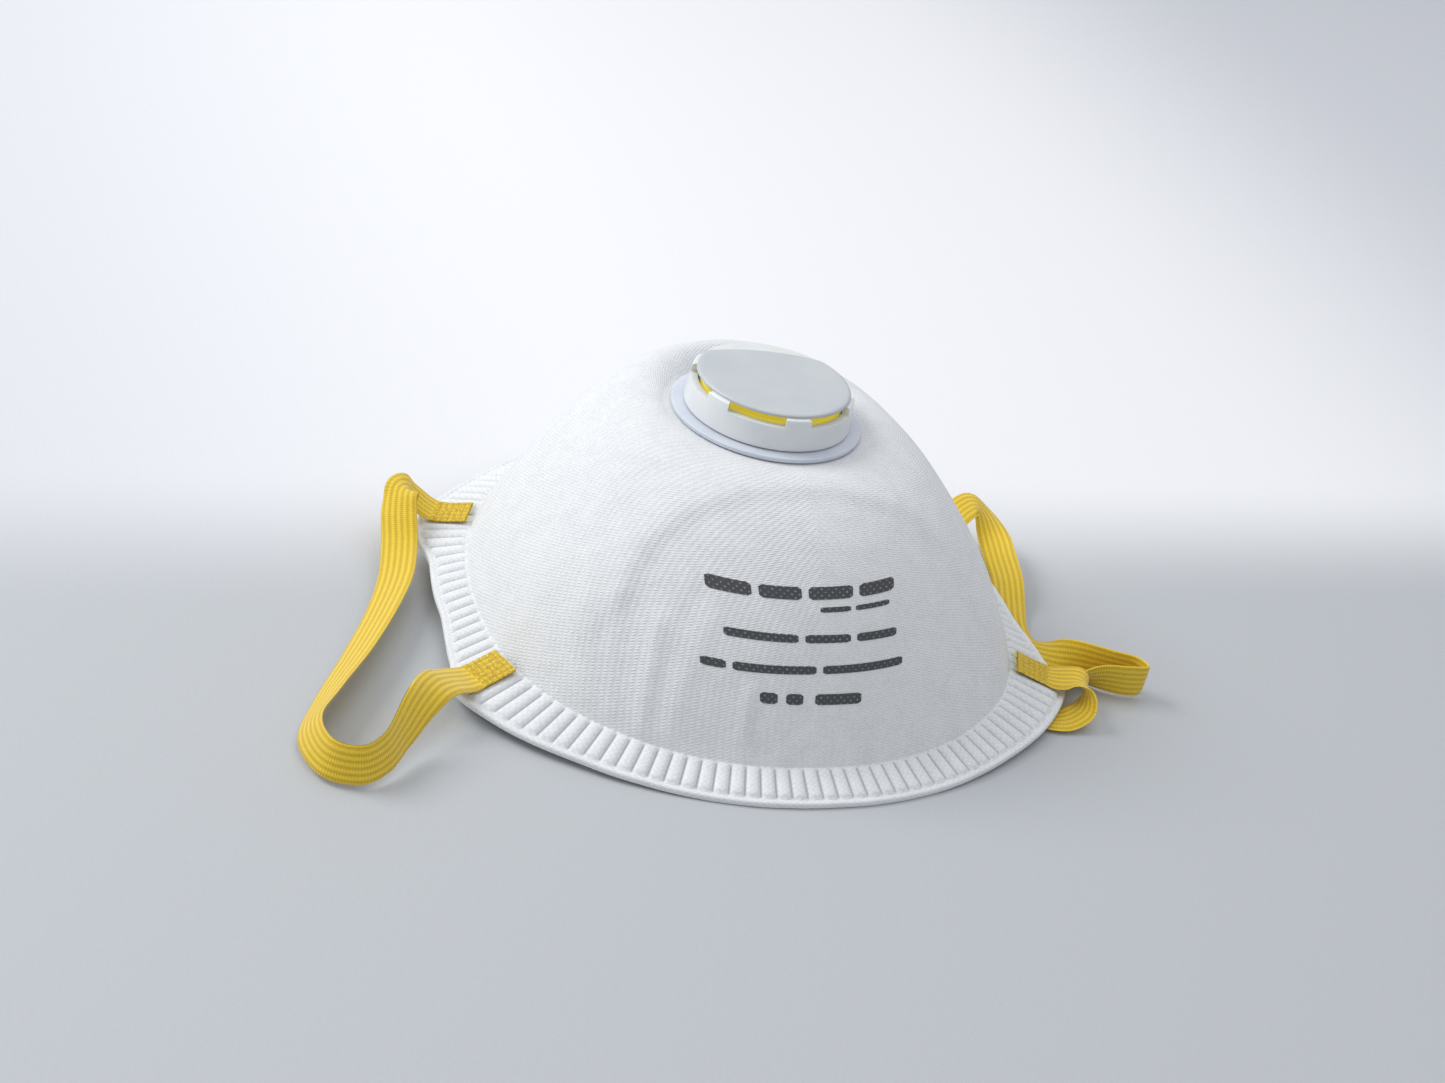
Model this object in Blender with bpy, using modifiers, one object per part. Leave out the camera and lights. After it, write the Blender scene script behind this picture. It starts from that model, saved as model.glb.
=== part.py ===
"""Disposable dust mask with an exhalation valve, lying on its rim. Metres, +Z up.

The chin looks along -Y, the nose along +Y, and X = 0 is the plane of symmetry. The origin
is on the surface that the mask rests on, below the middle of the rim.
"""

from math import cos, degrees, pi, radians, sin, tan

import bmesh
import bpy
from mathutils import Matrix, Vector

# Rim, from the chin (-90 degrees) to the nose (90): angle, radius of the line where the cup
# meets the flange, radius of the flange's edge, and height of that edge above the table.
RIM = (
    (-90, 0.0590, 0.0674, 0.0000),
    (-72, 0.0598, 0.0684, 0.0000),
    (-50, 0.0622, 0.0716, 0.0010),
    (-33, 0.0636, 0.0760, 0.0020),
    (-25, 0.0636, 0.0774, 0.0024),
    (-17, 0.0628, 0.0728, 0.0028),
    (-3, 0.0614, 0.0688, 0.0034),
    (10, 0.0612, 0.0690, 0.0042),
    (19, 0.0614, 0.0732, 0.0047),
    (25, 0.0616, 0.0742, 0.0051),
    (33, 0.0612, 0.0712, 0.0062),
    (50, 0.0594, 0.0670, 0.0078),
    (66, 0.0580, 0.0664, 0.0036),
    (78, 0.0573, 0.0672, 0.0000),
    (90, 0.0571, 0.0674, 0.0000),
)
FLANGE_RISE = 0.0026
EDGE_STRIP = 0.0022
WIDEST_STEP = 12.5
DOME_RINGS = 9
LAST_RING = 0.95

# Cup: the margin of the flat seat round the valve's plate, and how full the wall is
# between seat and rim.
SEAT_MARGIN = 0.0013
SEAT_Y = 0.0082
SEAT_Z = 0.0482
SEAT_TILT = radians(-1)
# For the sides, the nose and the chin: how far the cup reaches out level with the seat,
# how far it swells above it, how full the wall is above the rim, and the wall's lean.
SIDE_SHAPE = (0.30, 0.0050, 0.40, radians(18))
NOSE_SHAPE = (0.45, 0.0175, 0.40, radians(28))
CHIN_SHAPE = (0.47, 0.0000, 0.44, radians(24))
NOSE_REACH = 1.8
CHIN_REACH = 1.5

# Layers, from the outside in.
COVER_THICKNESS = 0.0005
FILTER_THICKNESS = 0.0004
SHELL_THICKNESS = 0.0009
LINING_THICKNESS = 0.0005
LAYER_GAP = 0.0003
FILTER_LAYERS = 2

# Valve, along its own axis from the outer face of the cover.
CLEARANCE = 0.0003
PLATE_RADIUS = 0.0212
PLATE_THICKNESS = 0.0010
THROAT_RADIUS = 0.0142
THROAT_WALL = 0.0012
LIP_HEIGHT = 0.0040
HUB_RADIUS = 0.0030
SPOKE_WIDTH = 0.0014
SPOKE_DEPTH = 0.0016
HUB_DEPTH = 0.0020
SPOKES = 4
PIN_RADIUS = 0.0012
PIN_GAP = 0.0003
FLAP_RADIUS = 0.0156
FLAP_THICKNESS = 0.0006
FLAP_TRAVEL = 0.0012
CAP_TOP_RADIUS = 0.0175
CAP_FOOT_RADIUS = 0.0186
CAP_HEIGHT = 0.0080
CAP_WALL = 0.0010
CAP_EDGE = 0.0004
SLOT_HEIGHT = 0.0020
SLOT_WIDTH = 0.0128
SLOTS = 6
RING_RADIUS = 0.0192
RING_THICKNESS = 0.0012
RING_COLLAR = 0.0010
TURN_STEPS = 36

# Nose pieces: place on the nose wall as a share of the wall, and the angle to each side.
CLIP_WIDTH = 0.0050
CLIP_THICKNESS = 0.0008
CLIP_HALF_ANGLE = radians(36)
CLIP_PLACE = 0.66
FOAM_WIDTH = 0.0130
FOAM_THICKNESS = 0.0045
FOAM_HALF_ANGLE = radians(40)
FOAM_PLACE = 0.70
FOAM_GAP = 0.0009
NOSE_STEPS = 18
PROBE = 0.01

# Straps: flat elastic bands, each welded to the flange at an upper and a lower tab. A row of
# a route is a point on the middle of the free band, then the direction across the band.
STRAP_WIDTH = 0.0080
STRAP_THICKNESS = 0.0009
STRAP_STEPS = 72
STRAP_PROBE = 0.004
UPPER_WELD = radians(25)
LOWER_WELD = radians(-24)
WELD_START = 0.12
WELD_END = 0.86
STRAP_LIFT = 0.0010
LEFT_ROUTE = (
    ((-0.0688, 0.0322, 0.0104), (0.35, 0.92, 0.15)),
    ((-0.0706, 0.0316, 0.0128), (0.10, 0.98, 0.10)),
    ((-0.0724, 0.0292, 0.0134), (-0.40, 0.90, 0.05)),
    ((-0.0734, 0.0245, 0.0106), (-0.80, 0.60, 0.00)),
    ((-0.0740, 0.0175, 0.0070), (-0.92, 0.36, -0.10)),
    ((-0.0764, 0.0070, 0.0052), (-0.90, 0.28, -0.32)),
    ((-0.0815, -0.0055, 0.0048), (-0.82, 0.30, -0.48)),
    ((-0.0888, -0.0200, 0.0046), (-0.74, 0.32, -0.58)),
    ((-0.0970, -0.0345, 0.0046), (-0.62, 0.26, -0.74)),
    ((-0.1018, -0.0450, 0.0048), (-0.50, 0.05, -0.86)),
    ((-0.1000, -0.0540, 0.0048), (-0.25, -0.25, -0.93)),
    ((-0.0938, -0.0568, 0.0048), (0.00, -0.35, -0.93)),
    ((-0.0885, -0.0540, 0.0052), (0.15, -0.35, -0.92)),
    ((-0.0842, -0.0482, 0.0066), (0.25, -0.40, -0.88)),
    ((-0.0800, -0.0424, 0.0088), (0.35, -0.60, -0.70)),
    ((-0.0762, -0.0378, 0.0094), (0.40, -0.82, -0.35)),
    ((-0.0728, -0.0345, 0.0080), (0.42, -0.90, -0.10)),
)
RIGHT_ROUTE = (
    ((0.0695, 0.0330, 0.0106), (-0.30, 0.92, 0.20)),
    ((0.0728, 0.0340, 0.0112), (0.00, 0.95, 0.20)),
    ((0.0752, 0.0318, 0.0092), (0.55, 0.80, 0.15)),
    ((0.0762, 0.0265, 0.0066), (0.85, 0.30, 0.35)),
    ((0.0754, 0.0190, 0.0050), (0.75, 0.05, 0.65)),
    ((0.0740, 0.0110, 0.0038), (0.80, -0.20, 0.55)),
    ((0.0718, 0.0035, 0.0020), (0.90, -0.35, 0.15)),
    ((0.0694, -0.0045, 0.0012), (0.95, -0.20, 0.03)),
    ((0.0692, -0.0115, 0.0013), (0.97, 0.20, 0.05)),
    ((0.0722, -0.0172, 0.0026), (0.75, 0.50, 0.45)),
    ((0.0780, -0.0212, 0.0045), (0.15, 0.25, 0.95)),
    ((0.0850, -0.0243, 0.0047), (0.00, 0.00, 1.00)),
    ((0.0900, -0.0268, 0.0047), (0.00, 0.00, 1.00)),
    ((0.0912, -0.0304, 0.0047), (0.00, 0.00, 1.00)),
    ((0.0866, -0.0306, 0.0047), (0.00, 0.00, 1.00)),
    ((0.0806, -0.0289, 0.0045), (0.00, -0.25, 0.95)),
    ((0.0742, -0.0268, 0.0026), (0.00, -0.80, 0.55)),
    ((0.0685, -0.0262, 0.0011), (0.05, -1.00, 0.05)),
    ((0.0625, -0.0278, 0.0010), (0.55, -0.80, 0.00)),
    ((0.0592, -0.0325, 0.0010), (0.98, -0.20, 0.00)),
    ((0.0600, -0.0375, 0.0010), (0.80, 0.60, 0.00)),
    ((0.0640, -0.0400, 0.0010), (0.10, 0.99, 0.00)),
    ((0.0680, -0.0402, 0.0013), (0.00, 1.00, 0.00)),
    ((0.0718, -0.0390, 0.0031), (0.05, 0.99, 0.00)),
    ((0.0730, -0.0366, 0.0059), (0.15, 0.98, 0.05)),
    ((0.0716, -0.0340, 0.0076), (0.30, 0.95, 0.05)),
)

# Colours: linear red, green, blue, then roughness and metallic.
FINISHES = {
    "cover_fabric": ((0.80, 0.82, 0.82), 0.90, 0.0),
    "filter_web": ((0.86, 0.87, 0.88), 0.95, 0.0),
    "shell_felt": ((0.78, 0.79, 0.78), 0.95, 0.0),
    "lining_fabric": ((0.84, 0.85, 0.85), 0.90, 0.0),
    "valve_plate": ((0.70, 0.76, 0.86), 0.40, 0.0),
    "valve_cover": ((0.74, 0.77, 0.78), 0.42, 0.0),
    "flap_elastomer": ((0.62, 0.52, 0.06), 0.55, 0.0),
    "nose_metal": ((0.72, 0.73, 0.74), 0.38, 1.0),
    "nose_foam": ((0.45, 0.46, 0.47), 0.95, 0.0),
    "strap_elastic": ((0.80, 0.58, 0.02), 0.80, 0.0),
}

parts = bpy.data.collections.new("dust_mask")
cutters = bpy.data.collections.new("dust_mask_cutters")


def clear_scene():
    for old in list(bpy.data.objects):
        bpy.data.objects.remove(old, do_unlink=True)
    for collection in (parts, cutters):
        bpy.context.scene.collection.children.link(collection)


def finish(name):
    """Make the material of that name, or give the one that is there."""
    material = bpy.data.materials.get(name)
    if material:
        return material
    colour, roughness, metallic = FINISHES[name]
    material = bpy.data.materials.new(name)
    material.use_nodes = True
    shader = material.node_tree.nodes["Principled BSDF"]
    shader.inputs["Base Color"].default_value = (*colour, 1.0)
    shader.inputs["Roughness"].default_value = roughness
    shader.inputs["Metallic"].default_value = metallic
    material.diffuse_color = (*colour, 1.0)
    return material


def add_object(name, mesh, finish_name=None, collection=parts):
    """Put a mesh in the scene as a part, or as a cutter when it has no finish."""
    item = bpy.data.objects.new(name, mesh)
    collection.objects.link(item)
    if finish_name:
        mesh.materials.append(finish(finish_name))
    else:
        item.hide_render = True
        item.display_type = "WIRE"
    return item


def grid_mesh(name, rows, closed):
    """Quads between rows of points; closed joins each row's end to its start."""
    mesh = bpy.data.meshes.new(name)
    width = len(rows[0])
    last = width if closed else width - 1
    faces = [
        (i * width + j, (i + 1) * width + j, (i + 1) * width + (j + 1) % width, i * width + (j + 1) % width)
        for i in range(len(rows) - 1)
        for j in range(last)
    ]
    mesh.from_pydata([point for row in rows for point in row], [], faces)
    mesh.shade_smooth()
    return mesh


def thicken(item, thickness, offset=-1.0):
    solid = item.modifiers.new("thickness", "SOLIDIFY")
    solid.thickness = thickness
    solid.offset = offset
    solid.use_even_offset = True
    solid.use_rim = True


def along(rows, column, angle):
    """Read a column of a table at an angle, on a curve that never overshoots the rows."""
    xs = [row[0] for row in rows]
    ys = [row[column] for row in rows]
    k = max(i for i in range(len(xs) - 1) if angle >= xs[i] or i == 0)
    slopes = []
    for i in (k, k + 1):
        if i in (0, len(xs) - 1):
            slopes.append(0.0)
            continue
        before = (ys[i] - ys[i - 1]) / (xs[i] - xs[i - 1])
        after = (ys[i + 1] - ys[i]) / (xs[i + 1] - xs[i])
        slopes.append(2 * before * after / (before + after) if before * after > 0 else 0.0)
    step = xs[k + 1] - xs[k]
    t = (angle - xs[k]) / step
    return (
        ys[k] * (1 + 2 * t) * (1 - t) ** 2
        + slopes[0] * step * t * (1 - t) ** 2
        + ys[k + 1] * t * t * (3 - 2 * t)
        - slopes[1] * step * t * t * (1 - t)
    )


def rim(phi):
    """Meeting radius, edge radius and edge height at an angle round the mask."""
    angle = (degrees(phi) + 90) % 360 - 90
    if angle > 90:
        angle = 180 - angle
    return [along(RIM, column, angle) for column in (1, 2, 3)]


def polar(radius, phi, height):
    return Vector((radius * cos(phi), radius * sin(phi), height))


COVER_TOP = COVER_THICKNESS + LAYER_GAP + LINING_THICKNESS
SEAT_RADIUS = PLATE_RADIUS + SEAT_MARGIN
SEAT = Matrix.Translation((0, SEAT_Y, SEAT_Z)) @ Matrix.Rotation(SEAT_TILT, 4, "X")


def cup_shape(phi):
    """Reach, swell, fullness and lean of the cup at one angle, blended round the rim."""
    nose = max(0, sin(phi)) ** NOSE_REACH
    chin = max(0, -sin(phi)) ** CHIN_REACH
    side = 1 - nose - chin
    columns = zip(SIDE_SHAPE, NOSE_SHAPE, CHIN_SHAPE)
    return [side * a + nose * b + chin * c for a, b, c in columns]


def wall_curve(phi):
    """Four control points of the cup's wall, from the valve seat down to the rim."""
    meeting, edge, height = rim(phi)
    reach, swell, fullness, lean = cup_shape(phi)
    top = SEAT @ polar(SEAT_RADIUS, phi, 0)
    foot = polar(meeting, phi, height + COVER_TOP + FLANGE_RISE)
    outward = (SEAT.to_3x3() @ polar(1, phi, 0)) * (foot - top).to_2d().length * reach
    outward += Vector((0, 0, swell))
    upward = Vector((-cos(phi) * tan(lean), -sin(phi) * tan(lean), 1))
    upward *= (top.z - foot.z) * fullness
    return top, top + outward, foot + upward, foot


def wall_point(phi, t):
    a, b, c, d = wall_curve(phi)
    return a * (1 - t) ** 3 + b * 3 * t * (1 - t) ** 2 + c * 3 * t * t * (1 - t) + d * t**3


def flange_rows(angles):
    """Foot of the slope and outer edge of the flange, on its upper face."""
    inner, outer = [], []
    for phi in angles:
        meeting, edge, height = rim(phi)
        inner.append(polar(edge - EDGE_STRIP, phi, height + COVER_TOP))
        outer.append(polar(edge, phi, height + COVER_TOP))
    return [inner, outer]


THROAT_HOLE = THROAT_RADIUS + CLEARANCE
STEPS_DOWN = [i / DOME_RINGS for i in range(DOME_RINGS)] + [LAST_RING, 1.0]
LAYER_ROWS = len(STEPS_DOWN)


def angles_round():
    """The rim table's own angles, its wide steps split, mirrored to go right round."""
    side = []
    for row, following in zip(RIM, RIM[1:]):
        step = following[0] - row[0]
        pieces = 2 if step > WIDEST_STEP else 1
        side += [row[0] + step * k / pieces for k in range(pieces)]
    side.append(RIM[-1][0])
    other = [180 - angle for angle in reversed(side[1:-1])]
    return [radians(angle) for angle in side + other]


def cup_rows():
    """Outer face of the cover, row by row from the valve hole to the flange's edge."""
    angles = angles_round()
    rows = [[SEAT @ polar(THROAT_HOLE, phi, 0) for phi in angles]]
    rows += [[wall_point(phi, t) for phi in angles] for t in STEPS_DOWN]
    return rows + flange_rows(angles)


def inward_steps(rows):
    """For each point of the rows, the way inwards that is one metre deep."""
    mesh = grid_mesh("guide", rows, closed=True)
    form = bmesh.new()
    form.from_mesh(mesh)
    form.normal_update()
    form.verts.ensure_lookup_table()
    steps = [-v.normal * v.calc_shell_factor() for v in form.verts]
    form.free()
    bpy.data.meshes.remove(mesh)
    width = len(rows[0])
    return [steps[i * width : (i + 1) * width] for i in range(len(rows))]


def sunk(rows, steps, depths):
    """Rows moved inwards, each row by its own depth."""
    return [
        [point + step * depth for point, step in zip(row, row_steps)]
        for row, row_steps, depth in zip(rows, steps, depths)
    ]


def layer(name, rows, steps, depths, thickness, finish_name):
    mesh = grid_mesh(name, sunk(rows, steps, depths), closed=True)
    thicken(add_object(name, mesh, finish_name), thickness)


FILTER_STEP = FILTER_THICKNESS + LAYER_GAP
SHELL_DEPTH = COVER_THICKNESS + LAYER_GAP + FILTER_LAYERS * FILTER_STEP
LINING_DEPTH = SHELL_DEPTH + SHELL_THICKNESS + LAYER_GAP
STACK_DEPTH = LINING_DEPTH + LINING_THICKNESS


def build_layers():
    """Cover, filter webs, stiff shell and lining; only cover and lining reach the edge."""
    rows = cup_rows()
    steps = inward_steps(rows)
    layer("outer_cover", rows, steps, [0.0] * len(rows), COVER_THICKNESS, "cover_fabric")
    for k in range(FILTER_LAYERS):
        depth = COVER_THICKNESS + LAYER_GAP + k * FILTER_STEP
        depths = [depth] * LAYER_ROWS
        layer(f"filter_layer_{k + 1}", rows, steps, depths, FILTER_THICKNESS, "filter_web")
    layer("shaping_shell", rows, steps, [SHELL_DEPTH] * LAYER_ROWS, SHELL_THICKNESS, "shell_felt")
    edge_depths = [COVER_THICKNESS + LAYER_GAP] * 3
    depths = [LINING_DEPTH] * (len(rows) - 3) + edge_depths
    layer("inner_lining", rows, steps, depths, LINING_THICKNESS, "lining_fabric")


def turned(name, profile, finish_name, closed=False, collection=parts):
    """Turn an outline, given down its outer side first, about the valve's axis."""
    mesh = bpy.data.meshes.new(name)
    edges = [(i, i + 1) for i in range(len(profile) - 1)]
    if closed:
        edges.append((len(profile) - 1, 0))
    mesh.from_pydata([(r, 0, z) for r, z in profile], edges, [])
    item = add_object(name, mesh, finish_name, collection)
    item.matrix_world = SEAT
    screw = item.modifiers.new("turn", "SCREW")
    screw.steps = TURN_STEPS
    screw.render_steps = TURN_STEPS
    screw.use_merge_vertices = True
    screw.merge_threshold = 0.00005
    screw.use_smooth_shade = True
    return item


def combine(item, other, operation):
    change = item.modifiers.new(operation.lower(), "BOOLEAN")
    change.operation = operation
    change.object = other
    change.solver = "EXACT"


def block(name, size, place, turn):
    """A box on the valve's axis system: its size, its centre, and its turn about the axis."""
    mesh = bpy.data.meshes.new(name)
    form = bmesh.new()
    bmesh.ops.create_cube(form, size=1)
    bmesh.ops.scale(form, vec=size, verts=form.verts)
    form.to_mesh(mesh)
    form.free()
    item = add_object(name, mesh, collection=cutters)
    item.matrix_world = SEAT @ Matrix.Rotation(turn, 4, "Z") @ Matrix.Translation(place)
    return item


PLATE_TOP = CLEARANCE + PLATE_THICKNESS
LIP_TOP = CLEARANCE + LIP_HEIGHT
FLAP_BASE = LIP_TOP + CLEARANCE
FLAP_TOP = FLAP_BASE + FLAP_THICKNESS
CAP_FOOT = PLATE_TOP + CLEARANCE
CAP_TOP = CAP_FOOT + CAP_HEIGHT
CAP_UNDER = CAP_TOP - CAP_WALL
RING_TOP = -STACK_DEPTH - CLEARANCE
THROAT_END = RING_TOP - RING_THICKNESS - RING_COLLAR


def build_valve_seat():
    """Base plate and throat, with a spoked hub that carries the pin of the flap."""
    bore = THROAT_RADIUS - THROAT_WALL
    outline = [
        (THROAT_RADIUS, LIP_TOP),
        (THROAT_RADIUS, PLATE_TOP),
        (PLATE_RADIUS, PLATE_TOP),
        (PLATE_RADIUS, CLEARANCE),
        (THROAT_RADIUS, CLEARANCE),
        (THROAT_RADIUS, THROAT_END),
        (bore, THROAT_END),
        (bore, LIP_TOP),
    ]
    seat = turned("valve_seat", outline, "valve_plate", closed=True)
    hub_top = LIP_TOP
    pin_top = FLAP_TOP + FLAP_TRAVEL + CLEARANCE
    hub_outline = [
        (0, pin_top),
        (PIN_RADIUS, pin_top),
        (PIN_RADIUS, hub_top),
        (HUB_RADIUS, hub_top),
        (HUB_RADIUS, hub_top - HUB_DEPTH),
        (0, hub_top - HUB_DEPTH),
    ]
    combine(seat, turned("valve_hub", hub_outline, None, collection=cutters), "UNION")
    reach = bore + THROAT_WALL / 2
    start = HUB_RADIUS / 2
    size = (reach - start, SPOKE_WIDTH, SPOKE_DEPTH)
    place = ((reach + start) / 2, 0, hub_top - HUB_DEPTH / 2)
    for k in range(SPOKES):
        turn = 2 * pi * (k + 0.5) / SPOKES
        combine(seat, block(f"spoke_{k + 1}", size, place, turn), "UNION")


def build_valve_flap():
    """Elastomer disc with a hole for the pin; it lifts off the lip on each breath out."""
    outline = [
        (FLAP_RADIUS, FLAP_TOP),
        (FLAP_RADIUS, FLAP_BASE),
        (PIN_RADIUS + PIN_GAP, FLAP_BASE),
        (PIN_RADIUS + PIN_GAP, FLAP_TOP),
    ]
    turned("valve_flap", outline, "flap_elastomer", closed=True)


def build_valve_cap():
    """Slotted cover: a round lid on a skirt that widens to its foot."""
    outline = [
        (0, CAP_TOP),
        (CAP_TOP_RADIUS - CAP_EDGE, CAP_TOP),
        (CAP_TOP_RADIUS, CAP_TOP - CAP_EDGE),
        (CAP_TOP_RADIUS, CAP_UNDER),
        (CAP_FOOT_RADIUS, CAP_FOOT),
        (CAP_FOOT_RADIUS - CAP_WALL, CAP_FOOT),
        (CAP_TOP_RADIUS - CAP_WALL, CAP_UNDER),
        (0, CAP_UNDER),
    ]
    cap = turned("valve_cap", outline, "valve_cover")
    size = (CAP_WALL * 5, SLOT_WIDTH, SLOT_HEIGHT)
    place = (CAP_TOP_RADIUS, 0, CAP_UNDER - SLOT_HEIGHT / 2 - CAP_WALL / 4)
    for k in range(SLOTS):
        combine(cap, block(f"slot_{k + 1}", size, place, 2 * pi * k / SLOTS), "DIFFERENCE")


def build_valve_ring():
    """Ring pushed over the throat from inside, which clamps the layers to the seat."""
    inner = THROAT_RADIUS + CLEARANCE
    bottom = RING_TOP - RING_THICKNESS
    outline = [
        (RING_RADIUS, RING_TOP),
        (RING_RADIUS, bottom),
        (inner + RING_COLLAR, bottom),
        (inner + RING_COLLAR, bottom - RING_COLLAR),
        (inner, bottom - RING_COLLAR),
        (inner, RING_TOP),
    ]
    turned("valve_ring", outline, "valve_plate", closed=True)


def nose_strip(name, half_angle, place, width, depth, thickness, finish_name):
    """A strip round the nose wall, its outer face at a depth below the cover's face."""
    rows = []
    for i in range(NOSE_STEPS + 1):
        phi = pi / 2 + half_angle * (2 * i / NOSE_STEPS - 1)
        down = (wall_point(phi, place + PROBE) - wall_point(phi, place - PROBE)) / (2 * PROBE)
        round_way = wall_point(phi + PROBE, place) - wall_point(phi - PROBE, place)
        inward = round_way.cross(down).normalized()
        half = width / 2 / down.length
        ends = [wall_point(phi, place + side * half) + inward * depth for side in (-1, 1)]
        rows.append(ends)
    mesh = grid_mesh(name, rows, closed=False)
    thicken(add_object(name, mesh, finish_name), thickness, offset=1.0)


def build_nose():
    """Soft metal strip outside and foam strip inside, both across the bridge of the nose."""
    nose_strip("nose_clip", CLIP_HALF_ANGLE, CLIP_PLACE, CLIP_WIDTH, -CLEARANCE,
               -CLIP_THICKNESS, "nose_metal")
    nose_strip("nose_foam", FOAM_HALF_ANGLE, FOAM_PLACE, FOAM_WIDTH, STACK_DEPTH + FOAM_GAP,
               FOAM_THICKNESS, "nose_foam")


def smooth_through(points, t):
    """Point of a smooth curve that passes through the points, t from 0 to 1."""
    place = t * (len(points) - 1)
    k = min(int(place), len(points) - 2)
    u = place - k
    a, b = points[max(k - 1, 0)], points[k]
    c, d = points[k + 1], points[min(k + 2, len(points) - 1)]
    bend = a * 2 - b * 5 + c * 4 - d
    turn = b * 3 - a - c * 3 + d
    return (b * 2 + (c - a) * u + bend * u**2 + turn * u**3) / 2


def flange_point(phi, share):
    """Point over the flange's upper face, from the foot of the cup (0) to the strip (1)."""
    meeting, edge, height = rim(phi)
    foot = polar(meeting, phi, height + COVER_TOP + FLANGE_RISE)
    return foot.lerp(polar(edge - EDGE_STRIP, phi, height + COVER_TOP), share)


def weld(phi, sign):
    """Two rows of a strap's route, from the cup outwards, where it lies on the flange."""
    lift = Vector((0, 0, CLEARANCE + STRAP_LIFT))
    across = flange_point(phi + PROBE, 0.5) - flange_point(phi - PROBE, 0.5)
    if across.y * sign < 0:
        across = -across
    return [(flange_point(phi, share) + lift, across) for share in (WELD_START, WELD_END)]


def strap(name, side, route):
    """Flat band from the upper weld, along its free route, to the lower weld."""
    upper = weld(UPPER_WELD if side > 0 else pi - UPPER_WELD, 1)
    lower = weld(LOWER_WELD if side > 0 else pi - LOWER_WELD, side)
    rows = [*upper, *route, *reversed(lower)]
    places = [Vector(place) for place, across in rows]
    sides = [Vector(across).normalized() for place, across in rows]
    edges = []
    for i in range(STRAP_STEPS + 1):
        t = i / STRAP_STEPS
        middle = smooth_through(places, t)
        ahead = smooth_through(places, min(t + STRAP_PROBE, 1))
        way = ahead - smooth_through(places, max(t - STRAP_PROBE, 0))
        across = smooth_through(sides, t)
        across = (across - way * (across.dot(way) / way.length_squared)).normalized()
        edges.append([middle - across * STRAP_WIDTH / 2, middle + across * STRAP_WIDTH / 2])
    mesh = grid_mesh(name, edges, closed=False)
    thicken(add_object(name, mesh, "strap_elastic"), STRAP_THICKNESS, offset=0.0)


clear_scene()
build_layers()
build_valve_seat()
build_valve_flap()
build_valve_cap()
build_valve_ring()
build_nose()
strap("strap_left", -1, LEFT_ROUTE)
strap("strap_right", 1, RIGHT_ROUTE)
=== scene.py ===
"""Disposable dust mask with an exhalation valve, lying on its rim with its straps loose.

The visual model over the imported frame: moulded nonwoven shells with a ribbed rim, a slotted
round valve, woven elastic straps, and the nose pieces. Metres, chin along -Y, nose along +Y.
"""

from math import cos, pi, radians, sin

import bpy
import numpy as np
from mathutils import Matrix, Vector, noise


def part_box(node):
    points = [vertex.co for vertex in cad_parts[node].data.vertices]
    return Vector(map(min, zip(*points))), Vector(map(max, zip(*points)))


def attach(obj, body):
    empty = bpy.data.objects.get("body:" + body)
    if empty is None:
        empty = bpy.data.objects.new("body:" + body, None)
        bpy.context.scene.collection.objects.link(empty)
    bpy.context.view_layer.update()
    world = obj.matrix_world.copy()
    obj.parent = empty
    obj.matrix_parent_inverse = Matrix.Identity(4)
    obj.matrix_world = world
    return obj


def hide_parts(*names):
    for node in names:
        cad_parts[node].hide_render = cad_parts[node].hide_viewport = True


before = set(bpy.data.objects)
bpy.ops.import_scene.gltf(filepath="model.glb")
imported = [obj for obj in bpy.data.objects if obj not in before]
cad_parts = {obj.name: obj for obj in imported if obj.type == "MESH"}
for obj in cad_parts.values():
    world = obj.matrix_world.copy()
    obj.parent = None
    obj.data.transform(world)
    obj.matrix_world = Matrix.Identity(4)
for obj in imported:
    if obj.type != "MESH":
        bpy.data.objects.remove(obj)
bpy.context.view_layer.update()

# ---------------------------------------------------------------- camera
# A long lens looks down at the chin from the left, turned a little in its mount.
CAMERA_AZIMUTH = radians(-23.95)
CAMERA_ELEVATION = radians(30.5)
CAMERA_ROLL = radians(13.87)
CAMERA_DISTANCE = 0.4868
CAMERA_TARGET = Vector((-0.0064, 0.0, 0.0206))
CAMERA_LENS = 54.8

back = Vector(
    (
        sin(CAMERA_AZIMUTH) * cos(CAMERA_ELEVATION),
        -cos(CAMERA_AZIMUTH) * cos(CAMERA_ELEVATION),
        sin(CAMERA_ELEVATION),
    )
)
level_right = (-back).cross(Vector((0, 0, 1))).normalized()
level_up = back.cross(level_right)
camera_right = level_right * cos(CAMERA_ROLL) + level_up * sin(CAMERA_ROLL)
camera_up = back.cross(camera_right)
camera = bpy.data.objects.new("camera", bpy.data.cameras.new("camera"))
camera.data.lens = CAMERA_LENS
camera.data.clip_start = 0.01
axes = Matrix((camera_right, camera_up, back)).transposed().to_4x4()
camera.matrix_world = Matrix.Translation(CAMERA_TARGET + back * CAMERA_DISTANCE) @ axes
bpy.context.scene.collection.objects.link(camera)
bpy.context.scene.camera = camera


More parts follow.
